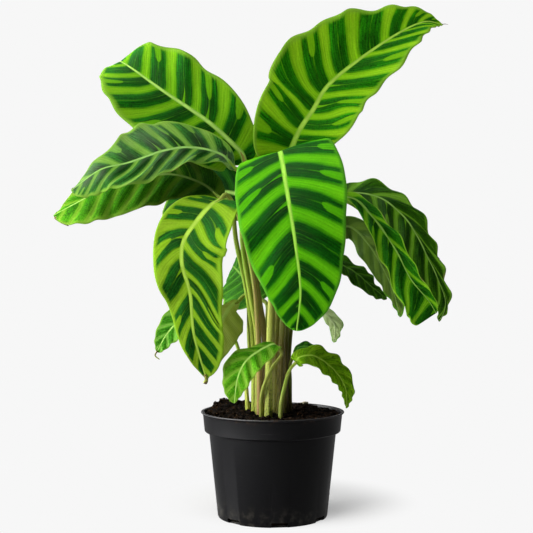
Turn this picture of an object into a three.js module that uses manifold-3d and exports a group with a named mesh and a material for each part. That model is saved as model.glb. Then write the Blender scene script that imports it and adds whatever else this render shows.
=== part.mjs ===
// A potted calathea: a thin nursery pot, the soil that fills it, and a clump of sheathed stalks that each
// carry one waved blade. Millimetres, +Z up, origin at the centre of the pot's underside. The plant's front
// faces -Y.
import * as THREE from "three";
import { mergeVertices } from "three/addons/utils/BufferGeometryUtils.js";
import Module from "manifold-3d";

// Pot.
const rimRadius = 85;
const rimHeight = 124.6;
const lipThickness = 1.4;
const lipRounding = 0.5;
const lipFillet = 1;
const collarTopRadius = 82.8;
const collarFootRadius = 80.6;
const collarFootHeight = 102;
const wallTopRadius = 75.4;
const baseRadius = 65;
const baseEdge = 2.5;
const wallThickness = 1.6;
const floorThickness = 2.2;
const potSides = 35;
const notchCount = 7;
const notchWidth = 19;
const notchHeight = 6;
const notchDepth = 5;
const firstNotch = 7;

// Soil.
const soilGap = 0.3;
const soilHeight = 120.5;
const soilRings = 6;
const lumpHeight = 1.3;
const plantingDepth = 25;
const stalkRise = 4;
const holeGap = 0.5;
const holeSides = 8;
// Low mounds on the soil, each with the place of its top, its height and its spread.
const mounds = [
  { at: [-58, 45], height: 9, spread: 28 },
  { at: [38, 66], height: 4, spread: 18 },
];

// Blades.
const bladeThickness = 0.8;
const wideColumns = [-1, -0.7, -0.36, -0.05, 0, 0.05, 0.36, 0.7, 1];
const narrowColumns = [-1, -0.55, -0.08, 0, 0.08, 0.55, 1];
const widePleats = 10;
const veinSweep = 1.35;
const veinBend = 1.4;
const lobeShare = 0.06;
const pleatHeight = 0.6;
const ribDepth = 1.8;
const ribTaper = 0.7;
const baseHalfWidth = 2.2;
const tipHalfWidth = 0.5;
const jointGap = 0.4;

// Stalks. Each one swells into a collar below its blade.
const stalkSides = 6;
const stalkSteps = 11;
const stalkTaper = 0.8;
const collarLength = 14;
const collarSwell = 0.15;

// Bark scrap.
const barkPlace = [39, 63];
const barkLift = 0.9;
const barkThickness = 1.2;
const barkOutline = [[-6, -1.5], [-2, -3], [4, -2], [6.5, 0.5], [3, 2.5], [-3, 2]];

const colours = {
  pot: 0x1b1b1c,
  soil: 0x1d140e,
  bark: 0xb9a88c,
  stalk: 0x7f9438,
  bright: 0x3f9a1e,
  deep: 0x1d5a20,
  olive: 0x55682a,
  pale: 0x8fae62,
};

// One half of a blade: its greatest width, how full it is towards the stalk and towards the tip (0.5 is as
// round as an ellipse, 1 is a straight taper), its tilt up from the rib in degrees at the stalk and at the
// tip, its further tilt at the margin, how far its lobe reaches back past the stalk's end, and its waves:
// how many, how high, what share of the width they add and take away, and where they start.
const half = (width, stalkEnd, tipEnd, tilt, curl, lobe, waves) =>
  ({ width, stalkEnd, tipEnd, tilt, curl, lobe, waves });

// Each leaf has the points of its midrib from stalk to tip, the directions that its upper side faces on
// the way, its left and right halves as seen on the upper side with the tip up, the number of its pleats,
// and its stalk: where it leaves the soil, the points on its way, and its radius at the foot and the blade.
const leaves = [
  {
    name: "upper_right",
    colour: colours.bright,
    rib: [
      [15, 2, 418], [31, -2, 456], [48, 0, 482], [71, 6, 517], [134, 25, 567], [183, 45, 596],
      [212, 60, 597],
    ],
    face: [[0.1, -1, 0.1], [0.1, -1, 0.3], [0, -1, 0.6]],
    left: half(67, 0.55, 0.95, [8, 8], 10, 18, [4, 2, 0.03, 0.8]),
    right: half(47, 0.5, 0.75, [8, 8], 6, 6, [3, 2, 0.03, 0.3]),
    pleats: 10,
    stalk: { from: [5, 9], way: [[6, 8, 190], [7, 6, 300], [10, 4, 372]], radius: [4.8, 2.6] },
  },
  {
    name: "front",
    colour: colours.bright,
    rib: [
      [6, -18, 410], [7, -32, 426], [9, -58, 423], [15, -95, 381], [23, -118, 327], [29, -130, 271],
      [25, -130, 227],
    ],
    face: [[0, -0.3, 1], [0, -1, 0.5], [0, -1, 0.1]],
    left: half(62, 0.32, 0.55, [24, -4], -10, 2, [2, 2, 0.02, 0.5]),
    right: half(57, 0.46, 0.57, [-12, 4], -10, 2, [3, 2, 0.01, 0.5]),
    pleats: 10,
    stalk: { from: [-5, -35], way: [[-4, -33, 200], [0, -22, 300], [4, -12, 370]], radius: [4.8, 2.6] },
  },
  {
    name: "upper_left",
    colour: colours.bright,
    rib: [
      [-33, 16, 420], [-38, 14, 433], [-52, 12, 447], [-79, 12, 471], [-131, 18, 507], [-168, 32, 535],
      [-184, 48, 547], [-190, 66, 552],
    ],
    face: [[0, -1, 0.5], [0, -1, 0.5], [-0.1, -0.6, 1.2]],
    left: half(64, 0.55, 0.6, [8, -12], 0, 6, [3, 2, 0.03, 0.9]),
    right: half(51, 0.62, 0.42, [8, 30], 0, 8, [3, 2, 0.03, 0.4]),
    pleats: 10,
    stalk: { from: [-7, 13], way: [[-9, 13, 205], [-17, 13, 260], [-28, 15, 335]], radius: [4.6, 2.5] },
  },
  {
    name: "left_arching",
    colour: colours.bright,
    rib: [
      [-43, -20, 410], [-61, -28, 427], [-93, -42, 433], [-124, -54, 428], [-162, -62, 414],
      [-195, -66, 405], [-228, -64, 382],
    ],
    face: [[0, -0.8, 1], [0, -1, 0.8], [0, -1, 0.8]],
    left: half(30, 0.8, 0.4, [0, 0], -20, 5, [3, 3, 0.03, 0.06]),
    right: half(47, 1.2, 1.6, [4, 4], 0, 0, [2, 3, 0.02, 0]),
    pleats: 10,
    stalk: { from: [-17, -4], way: [[-18, -5, 209], [-26, -7, 262], [-36, -12, 331]], radius: [4.6, 2.5] },
  },
  {
    name: "left_lower",
    colour: colours.bright,
    rib: [
      [-59, -18, 375], [-86, -16, 395], [-128, -20, 404], [-189, -30, 389], [-229, -38, 368],
      [-253, -38, 355],
    ],
    face: [[0, -1, 0.8], [0, -1, 0.8], [0, -1, 1]],
    left: half(37, 0.8, 0.5, [-8, -8], -10, 2, [3, 3, 0.02, 0.6]),
    right: half(34, 0.8, 1.0, [4, 4], -6, 5, [4, 3, 0.03, 0.8]),
    pleats: 10,
    stalk: { from: [-22, 8], way: [[-23, 8, 205], [-31, 3, 268], [-43, -4, 325]], radius: [4.4, 2.5] },
  },
  {
    name: "front_left",
    colour: colours.bright,
    rib: [
      [-59, -50, 373], [-70, -68, 365], [-83, -82, 349], [-98, -94, 325], [-100, -100, 300],
      [-91, -102, 266], [-87, -100, 222], [-74, -92, 173],
    ],
    face: [[0, -0.5, 1], [-0.1, -1, 0.3], [0, -1, 0.1]],
    left: half(46, 0.25, 0.47, [8, 4], 0, 2, [2.36, 3, 0.14, 0.3]),
    right: half(34, 0.24, 0.75, [4, 4], 0, 2, [3, 3, 0.05, 0.59]),
    pleats: 10,
    stalk: {
      from: [-15, -17],
      way: [[-16, -18, 200], [-22, -21, 280], [-38, -30, 350]],
      radius: [4.4, 2.4],
    },
  },
  {
    name: "low_left_small",
    colour: colours.bright,
    rib: [[-71, 25, 236], [-92, 22, 241], [-114, 20, 229], [-129, 18, 212], [-139, 16, 193]],
    face: [[0, -0.5, 1], [0, -1, 0.5], [0, -1, 0.3]],
    left: half(16, 0.4, 0.53, [5, 5], 0, 1, [3, 2, 0.06, 0.2]),
    right: half(20, 0.3, 0.7, [5, 5], 0, 1, [5, 1, 0.04, 0.07]),
    pleats: 6,
    stalk: { from: [-30, 16], way: [[-33, 20, 160], [-42, 25, 198]], radius: [3, 1.8] },
  },
  {
    name: "back_left",
    colour: colours.deep,
    rib: [[-13, 42, 255], [-19, 47, 264], [-32, 58, 278], [-44, 75, 291], [-50, 94, 296], [-52, 112, 292]],
    face: [[-0.2, -1, 0.5], [-0.8, -0.6, 0.5], [-1, -0.3, 0.45]],
    left: half(40, 0.5, 0.8, [0, 0], 0, 3, [3, 2, 0.03, 0.42]),
    right: half(34, 0.5, 0.6, [0, 0], 0, 3, [3, 2, 0.03, 0.1]),
    pleats: 7,
    stalk: { from: [-11, 27], way: [[-11, 29, 190]], radius: [4, 2.2] },
  },
  {
    name: "front_left_underside",
    colour: colours.olive,
    rib: [[-41, 16, 254], [-50, 10, 250], [-61, 2, 230], [-70, -4, 197], [-77, -4, 163]],
    face: [[-0.2, 1, 0.6], [-0.4, 1, 0.3], [-0.4, 1, 0]],
    left: half(18, 1.1, 0.7, [0, 0], 0, 0, [3, 2, 0.03, 0.42]),
    right: half(24, 1.2, 1.1, [0, 0], 0, 0, [3, 2, 0.03, 0.1]),
    pleats: 7,
    stalk: { from: [-19, 25], way: [[-23, 24, 160], [-28, 22, 205]], radius: [3.4, 2.2] },
  },
  {
    name: "small_front",
    colour: colours.bright,
    rib: [[5, -51, 203], [2, -57, 208], [-9, -68, 205], [-29, -84, 192], [-39, -90, 173], [-43, -92, 145]],
    face: [[0, -0.6, 1], [-0.2, -1, 0.6], [0, -1, 0.2]],
    left: half(19, 0.8, 0.9, [5, 5], 0, 1, [4, 1.5, 0.06, 0.04]),
    right: half(17, 1.5, 0.7, [5, 5], 0, 0, [2, 1.5, 0.08, 0.07]),
    pleats: 7,
    stalk: { from: [-13, -29], way: [[-12, -38, 150], [-3, -45, 176]], radius: [3, 1.8] },
  },
  {
    name: "outer_right",
    colour: colours.deep,
    rib: [
      [79, 25, 381], [98, 18, 385], [131, 8, 377], [162, 0, 348], [185, -6, 304], [199, -8, 272],
      [204, -8, 256], [203, -6, 243], [197, -4, 231],
    ],
    face: [[0, -0.8, 1], [0.3, -1, 0.5], [0.4, -1, 0.2]],
    left: half(20, 0.3, 0.9, [5, -3], 0, 0, [7, 3, 0.05, 0.05]),
    right: half(36, 0.6, 0.8, [5, -3], -10, 5, [6, 3, 0.03, 0.6]),
    pleats: 10,
    stalk: { from: [14, 1], way: [[15, 1, 200], [20, 6, 290], [42, 17, 352]], radius: [4.6, 2.5] },
  },
  {
    name: "front_right",
    colour: colours.bright,
    rib: [
      [74, -10, 378], [96, -25, 374], [120, -40, 347], [141, -52, 313], [157, -58, 281], [176, -60, 258],
      [184, -60, 245],
    ],
    face: [[0, -0.8, 1], [0.2, -1, 0.5], [0.2, -1, 0.2]],
    left: half(12, 0.9, 0.5, [48, 48], 10, 0, [5, 2, 0.05, 0.73]),
    right: half(31, 1.0, 0.05, [5, 5], 0, 3, [1.9, 3, 0.16, 0.38]),
    pleats: 10,
    stalk: { from: [8, -10], way: [[10, -10, 200], [18, -9, 290], [40, -7, 352]], radius: [4.4, 2.4] },
  },
  {
    name: "right_underside",
    colour: colours.olive,
    rib: [[71, 45, 338], [95, 42, 346], [117, 35, 325], [135, 28, 294], [147, 22, 265], [154, 18, 235]],
    face: [[0.2, 0.5, 1], [0.8, 1, 0.6], [0.8, 1, 0.2]],
    left: half(25, 0.3, 0.6, [5, 5], 0, 3, [3, 2, 0.03, 0.42]),
    right: half(20, 0.5, 0.6, [5, 5], 0, 3, [3, 2, 0.03, 0.1]),
    pleats: 8,
    stalk: { from: [18, 16], way: [[19, 17, 190], [27, 25, 255], [45, 37, 308]], radius: [4, 2.2] },
  },
  {
    name: "right_back",
    colour: colours.deep,
    rib: [[62, 60, 308], [91, 62, 296], [108, 60, 285], [122, 58, 272], [142, 54, 256]],
    face: [[0, -0.5, 1], [0, -0.6, 1], [0, -0.7, 1]],
    left: half(16, 0.5, 0.9, [5, 5], 0, 5, [3, 2, 0.03, 0.42]),
    right: half(20, 0.5, 0.6, [5, 5], 0, 5, [3, 2, 0.03, 0.1]),
    pleats: 8,
    stalk: { from: [14, 30], way: [[15, 32, 190], [22, 42, 245], [37, 53, 294]], radius: [4, 2.2] },
  },
  {
    name: "back_small",
    colour: colours.pale,
    rib: [[59, 75, 248], [72, 82, 233], [80, 84, 220], [78, 82, 200]],
    face: [[0.4, 0.5, 1], [0.8, 1, 0.3], [0.8, 1, 0]],
    left: half(10, 0.5, 0.7, [5, 5], 0, 5, [2, 1, 0.03, 0.42]),
    right: half(10, 0.5, 0.6, [5, 5], 0, 5, [2, 1, 0.03, 0.1]),
    pleats: 5,
    stalk: { from: [5, 41], way: [[8, 45, 180], [24, 56, 226]], radius: [3, 1.8] },
  },
  {
    name: "small_right",
    colour: colours.deep,
    rib: [[26, -52, 186], [31, -54, 193], [48, -55, 194], [70, -52, 178], [83, -48, 157], [85, -42, 133]],
    face: [[0, -0.6, 1], [0.2, -1, 0.8], [0.6, -1, 0.3]],
    left: half(15, 0.47, 0.63, [5, 5], 0, 1, [5, 1, 0.03, 0.98]),
    right: half(14, 0.3, 0.9, [5, 5], 0, 1, [5, 1, 0.02, 0.42]),
    pleats: 7,
    stalk: { from: [9, -35], way: [[11, -38, 145]], radius: [2.9, 1.8] },
  },
  {
    name: "right_low_edge",
    colour: colours.deep,
    rib: [[27, -2, 192], [31, -3, 200], [43, -2, 201], [61, 2, 192], [75, 4, 178]],
    face: [[0, -0.2, 1], [0, -0.2, 1], [0.2, -0.2, 1]],
    left: half(14, 0.5, 0.7, [5, 5], 0, 5, [2, 1, 0.03, 0.42]),
    right: half(14, 0.5, 0.6, [5, 5], 0, 5, [2, 1, 0.03, 0.1]),
    pleats: 6,
    stalk: { from: [23, 5], way: [[24, 2, 160]], radius: [2.8, 1.8] },
  },
  {
    name: "left_back",
    colour: colours.deep,
    rib: [[-20, 40, 368], [-40, 48, 384], [-70, 60, 388], [-110, 74, 374], [-138, 84, 350]],
    face: [[0, -1, 0.3], [0, -1, 0.3], [-0.2, -1, 0.5]],
    left: half(42, 0.4, 0.7, [5, 5], 0, 5, [3, 3, 0.03, 0.42]),
    right: half(32, 0.5, 0.6, [5, 5], 0, 5, [3, 3, 0.03, 0.1]),
    pleats: 8,
    stalk: { from: [2, 25], way: [[2, 27, 200], [0, 32, 280], [-8, 38, 340]], radius: [4.2, 2.3] },
  },
];

const { sin, cos, exp, abs, max, PI } = Math;
const { lerp, degToRad } = THREE.MathUtils;
const wasm = await Module();
wasm.setup();

const vector = ([x, y, z]) => new THREE.Vector3(x, y, z);
const curveThrough = (points) => new THREE.CatmullRomCurve3(points, false, "catmullrom", 0.5);

function solidOf(geometry) {
  const bare = geometry.clone();
  bare.deleteAttribute("normal");
  bare.deleteAttribute("uv");
  const merged = mergeVertices(bare, 1e-4);
  const vertProperties = new Float32Array(merged.attributes.position.array);
  const triVerts = new Uint32Array(merged.index.array);
  return new wasm.Manifold(new wasm.Mesh({ numProp: 3, vertProperties, triVerts }));
}

function geometryOf(solid) {
  const mesh = solid.getMesh();
  const geometry = new THREE.BufferGeometry();
  geometry.setAttribute("position", new THREE.BufferAttribute(mesh.vertProperties, 3));
  geometry.setIndex(new THREE.BufferAttribute(mesh.triVerts, 1));
  geometry.computeVertexNormals();
  return geometry;
}

function meshOf(name, geometry, color, roughness) {
  const mesh = new THREE.Mesh(geometry, new THREE.MeshStandardMaterial({ color, roughness, metalness: 0 }));
  mesh.name = name;
  return mesh;
}

// The inside of the pot, from the middle of its floor up to the rim, as (radius, height).
const potInside = [
  [0, floorThickness],
  [baseRadius - wallThickness - baseEdge, floorThickness],
  [baseRadius - wallThickness, floorThickness + baseEdge],
  [wallTopRadius - wallThickness, collarFootHeight],
  [collarFootRadius - wallThickness, collarFootHeight + wallThickness],
  [collarTopRadius - wallThickness, rimHeight],
];

function potGeometry() {
  const outside = [
    [0, 0],
    [baseRadius - baseEdge, 0],
    [baseRadius - baseEdge / 3, baseEdge / 3],
    [baseRadius, baseEdge],
    [wallTopRadius, collarFootHeight - wallThickness],
    [collarFootRadius, collarFootHeight],
    [collarTopRadius, rimHeight - lipThickness - lipFillet],
    [rimRadius - lipRounding, rimHeight - lipThickness],
    [rimRadius, rimHeight - lipThickness / 2],
    [rimRadius - lipRounding, rimHeight],
  ];
  const profile = [...outside, ...potInside.toReversed()].map(([r, z]) => new THREE.Vector2(r, z));
  const shell = new THREE.LatheGeometry(profile, potSides).rotateX(PI / 2);
  let pot = solidOf(shell);
  for (let i = 0; i < notchCount; i++) {
    const notch = new THREE.BoxGeometry(notchWidth, notchDepth * 2, notchHeight * 2);
    notch.translate(0, -baseRadius, 0);
    notch.rotateZ(degToRad(firstNotch) + (i / notchCount) * 2 * PI);
    pot = pot.subtract(solidOf(notch));
  }
  return geometryOf(pot);
}

// The height of the soil's surface, with its mounds and lumps.
function soilTop(x, y) {
  const mound = ({ at, height, spread }) =>
    height * exp(-((x - at[0]) ** 2 + (y - at[1]) ** 2) / spread ** 2);
  const lumps = sin(x * 0.31 + 1) * cos(y * 0.27) + 0.6 * sin(x * 0.13 - y * 0.71);
  return mounds.reduce((total, each) => total + mound(each), soilHeight) + lumpHeight * lumps;
}

function soilGeometry() {
  const positions = [];
  const indices = [];
  const addRing = (radius, heightAt) => {
    for (let i = 0; i < potSides; i++) {
      const angle = (i / potSides) * 2 * PI;
      const x = radius * sin(angle);
      const y = -radius * cos(angle);
      positions.push(x, y, heightAt(x, y));
    }
  };
  // Up the inside of the wall, then in over the top to its middle.
  positions.push(0, 0, floorThickness + soilGap);
  const side = potInside.slice(1, -1).map(([r, z]) => [r - soilGap * 1.3, z + soilGap * 0.3]);
  for (const [r, z] of side) addRing(r, () => z);
  const edge = collarTopRadius - wallThickness - soilGap * 2;
  for (let i = soilRings; i > 0; i--) addRing((edge * i) / soilRings, soilTop);
  positions.push(0, 0, soilTop(0, 0));
  const rings = side.length + soilRings;
  const at = (ring, i) => 1 + ring * potSides + (i % potSides);
  const top = positions.length / 3 - 1;
  for (let i = 0; i < potSides; i++) {
    indices.push(0, at(0, i + 1), at(0, i));
    for (let ring = 0; ring < rings - 1; ring++) {
      indices.push(at(ring, i), at(ring, i + 1), at(ring + 1, i + 1));
      indices.push(at(ring, i), at(ring + 1, i + 1), at(ring + 1, i));
    }
    indices.push(at(rings - 1, i), at(rings - 1, i + 1), top);
  }
  const geometry = new THREE.BufferGeometry();
  geometry.setAttribute("position", new THREE.Float32BufferAttribute(positions, 3));
  geometry.setIndex(indices);
  let soil = solidOf(geometry);
  const holeDepth = 2 * plantingDepth;
  for (const { stalk } of leaves) {
    const radius = (stalk.radius[0] + holeGap) / cos(PI / holeSides);
    const hole = new THREE.CylinderGeometry(radius, radius, holeDepth, holeSides).rotateX(PI / 2);
    hole.translate(...stalk.from, soilHeight - plantingDepth - holeGap + holeDepth / 2);
    soil = soil.subtract(solidOf(hole));
  }
  return geometryOf(soil);
}

// A round bar bent along a curve, with a radius that changes on the way.
function tubeGeometry(curve, steps, radiusAt) {
  const geometry = new THREE.CylinderGeometry(1, 1, 1, stalkSides, steps);
  const frames = curve.computeFrenetFrames(steps, false);
  const position = geometry.attributes.position;
  const local = new THREE.Vector3();
  for (let i = 0; i < position.count; i++) {
    local.fromBufferAttribute(position, i);
    const share = 0.5 - local.y;
    const step = Math.round(share * steps);
    const radius = radiusAt(share);
    const point = curve.getPointAt(share);
    point.addScaledVector(frames.normals[step], local.x * radius);
    point.addScaledVector(frames.binormals[step], local.z * radius);
    position.setXYZ(i, point.x, point.y, point.z);
  }
  return geometry;
}

// The stalk's radius narrows from its sheath up, then swells a little in the collar below the blade.
function stalkRadius([foot, head], share, length) {
  const joint = max(0, 1 - ((1 - share) * length) / collarLength);
  return lerp(foot, head, share ** stalkTaper) * (1 + collarSwell * joint);
}

function stalkGeometry({ stalk, ribCurve }) {
  const bladeStart = ribCurve.getPointAt(0);
  const heading = ribCurve.getTangentAt(0);
  const foot = [...stalk.from, soilHeight - plantingDepth];
  const surface = [...stalk.from, soilHeight + stalkRise];
  const neck = bladeStart.clone().addScaledVector(heading, -collarLength);
  const head = bladeStart.clone().addScaledVector(heading, -jointGap);
  const curve = curveThrough([...[foot, surface, ...stalk.way].map(vector), neck, head]);
  const length = curve.getLength();
  return tubeGeometry(curve, stalkSteps, (share) => stalkRadius(stalk.radius, share, length));
}

// The half width of a blade at a share of its length.
function halfWidth({ width, stalkEnd, tipEnd }, share) {
  const widest = stalkEnd / (stalkEnd + tipEnd);
  const shape = (s) => s ** stalkEnd * (1 - s) ** tipEnd;
  return (width * shape(share)) / shape(widest) + lerp(baseHalfWidth, tipHalfWidth, share);
}

// The direction that the upper side faces at the rib, square to the rib.
function facing({ ribCurve, faceCurve }, share) {
  return faceCurve.getPoint(share).projectOnPlane(ribCurve.getTangentAt(share)).normalize();
}

// A point of a blade's middle surface. "along" runs from stalk to tip and follows a side vein outwards, so
// the outer end of a vein lies nearer the tip than its inner end; "across" runs from -1 at the left margin
// to 1 at the right.
function bladePoint(leaf, along, across) {
  const side = across < 0 ? leaf.left : leaf.right;
  const reach = abs(across);
  const [waveCount, waveHeight, waveShare, waveStart] = side.waves;
  const outer = 1 - (1 - along) ** veinSweep;
  const share = lerp(along, outer, reach ** veinBend);
  const wave = sin(2 * PI * (waveCount * outer + waveStart)) * sin(PI * outer) ** 0.5;
  const bend = degToRad((side.curl * reach) / 2) || 1e-6;
  const out = (halfWidth(side, outer) * reach * (1 + waveShare * wave) * sin(bend)) / bend;
  const tilt = degToRad(lerp(...side.tilt, share)) + bend;
  const lobe = side.lobe * reach ** 1.5 * ((outer / lobeShare) * exp(1 - outer / lobeShare)) ** 2;
  const pleat = pleatHeight * cos(2 * PI * leaf.pleats * along) * sin(PI * along) * sin(PI * reach);
  const tangent = leaf.ribCurve.getTangentAt(share);
  const up = facing(leaf, share);
  const outward = tangent.clone().cross(up).multiplyScalar(Math.sign(across));
  const point = leaf.ribCurve.getPointAt(share);
  point.addScaledVector(outward, out * cos(tilt));
  point.addScaledVector(tangent, -lobe);
  return point.addScaledVector(up, out * sin(tilt) + waveHeight * wave * reach ** 2 + pleat);
}

function bladeNormal(leaf, along, across) {
  if (along === 0 || along === 1) return facing(leaf, along);
  const nudge = 0.004;
  const forward = bladePoint(leaf, along + nudge, across).sub(bladePoint(leaf, along - nudge, across));
  const sideways = bladePoint(leaf, along, across + nudge).sub(bladePoint(leaf, along, across - nudge));
  return sideways.cross(forward).normalize();
}

// A thin blade with a rib under its middle. Both faces are split into triangles alike.
function bladeGeometry(leaf) {
  const rows = leaf.pleats * 2;
  const columns = leaf.pleats < widePleats ? narrowColumns : wideColumns;
  const upper = [];
  const lower = [];
  for (let row = 0; row <= rows; row++) {
    const along = row / rows;
    for (const across of columns) {
      const point = bladePoint(leaf, along, across);
      const normal = bladeNormal(leaf, along, across);
      const ribHere = across === 0 ? ribDepth * (1 - along) ** ribTaper : 0;
      upper.push(...point.clone().addScaledVector(normal, bladeThickness / 2));
      lower.push(...point.addScaledVector(normal, -bladeThickness / 2 - ribHere));
    }
  }
  const width = columns.length;
  const count = upper.length / 3;
  const indices = [];
  const at = (row, column) => row * width + column;
  for (let row = 0; row < rows; row++) {
    for (let column = 0; column < width - 1; column++) {
      const [a, b] = [at(row, column), at(row, column + 1)];
      const [c, d] = [at(row + 1, column + 1), at(row + 1, column)];
      const triangles = column < (width - 1) / 2 ? [[a, b, d], [b, c, d]] : [[a, b, c], [a, c, d]];
      for (const [i, j, k] of triangles) indices.push(i, j, k, count + k, count + j, count + i);
    }
  }
  const rim = [];
  for (let column = 0; column < width - 1; column++) rim.push(at(0, column));
  for (let row = 0; row < rows; row++) rim.push(at(row, width - 1));
  for (let column = width - 1; column > 0; column--) rim.push(at(rows, column));
  for (let row = rows; row > 0; row--) rim.push(at(row, 0));
  rim.forEach((a, i) => {
    const b = rim[(i + 1) % rim.length];
    indices.push(a, count + a, b, b, count + a, count + b);
  });
  const geometry = new THREE.BufferGeometry();
  geometry.setAttribute("position", new THREE.Float32BufferAttribute([...upper, ...lower], 3));
  geometry.setIndex(indices);
  geometry.computeVertexNormals();
  return geometry;
}

// A pale scrap of bark that lies on the soil by the back of the rim.
function barkMesh() {
  const shape = new THREE.Shape(barkOutline.map(([x, y]) => new THREE.Vector2(x, y)));
  const geometry = new THREE.ExtrudeGeometry(shape, { depth: barkThickness, bevelEnabled: false });
  const bark = meshOf("bark_scrap", geometry, colours.bark, 0.8);
  bark.position.set(...barkPlace, soilTop(...barkPlace) + barkLift);
  bark.rotation.set(0.2, -0.1, 0.3);
  return bark;
}

const plant = new THREE.Group();
plant.add(meshOf("pot", potGeometry(), colours.pot, 0.55));
plant.add(meshOf("soil", soilGeometry(), colours.soil, 0.95));
plant.add(barkMesh());
for (const leaf of leaves) {
  leaf.ribCurve = curveThrough(leaf.rib.map(vector));
  leaf.faceCurve = curveThrough(leaf.face.map(vector));
  plant.add(meshOf(leaf.name + "_stalk", stalkGeometry(leaf), colours.stalk, 0.5));
  plant.add(meshOf(leaf.name + "_blade", bladeGeometry(leaf), leaf.colour, 0.45));
}

export default plant;
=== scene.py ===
# A potted calathea in a black nursery pot: striped blades on sheathed stalks, loose soil, one bark scrap.
import math
import bmesh
import bpy
import numpy as np
from mathutils import Matrix, Vector


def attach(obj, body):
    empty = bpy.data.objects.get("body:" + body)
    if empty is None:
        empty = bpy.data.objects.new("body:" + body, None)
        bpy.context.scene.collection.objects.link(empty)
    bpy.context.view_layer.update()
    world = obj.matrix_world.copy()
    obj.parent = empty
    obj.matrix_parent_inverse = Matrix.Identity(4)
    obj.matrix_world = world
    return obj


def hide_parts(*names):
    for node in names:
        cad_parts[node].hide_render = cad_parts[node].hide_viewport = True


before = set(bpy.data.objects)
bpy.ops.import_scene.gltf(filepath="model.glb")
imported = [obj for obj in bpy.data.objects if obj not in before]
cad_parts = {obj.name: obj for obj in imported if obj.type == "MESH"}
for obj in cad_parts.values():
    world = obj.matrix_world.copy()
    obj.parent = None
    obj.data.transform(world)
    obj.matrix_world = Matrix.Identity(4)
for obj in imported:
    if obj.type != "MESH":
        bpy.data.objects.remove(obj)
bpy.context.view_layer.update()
print("frame loaded, nodes:", len(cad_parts))

mm = 0.001
fullTurn = 2 * math.pi
mergeWithin = 1e-6  # metres


# A hex colour as it is seen on a screen, turned into the shader's own colour.
def paint(code):
    parts = [int(code[i:i + 2], 16) / 255 for i in (1, 3, 5)]
    linear = [p / 12.92 if p <= 0.04045 else ((p + 0.055) / 1.055) ** 2.4 for p in parts]
    return (*linear, 1)


# A number or a colour on its way through a shader. An expression on values adds its Math nodes.
class Value:
    def __init__(self, shader, socket):
        self.shader = shader
        self.socket = socket

    def math(self, operation, *others):
        return self.shader.add("ShaderNodeMath", {"operation": operation}, [self, *others])

    def __add__(self, other):
        return self.math("ADD", other)

    def __sub__(self, other):
        return self.math("SUBTRACT", other)

    def __rsub__(self, other):
        return self.shader.add("ShaderNodeMath", {"operation": "SUBTRACT"}, [other, self])

    def __mul__(self, other):
        return self.math("MULTIPLY", other)

    def __truediv__(self, other):
        return self.math("DIVIDE", other)

    def __pow__(self, other):
        return self.math("POWER", other)

    def __abs__(self):
        return self.math("ABSOLUTE")

    __radd__ = __add__
    __rmul__ = __mul__


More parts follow.
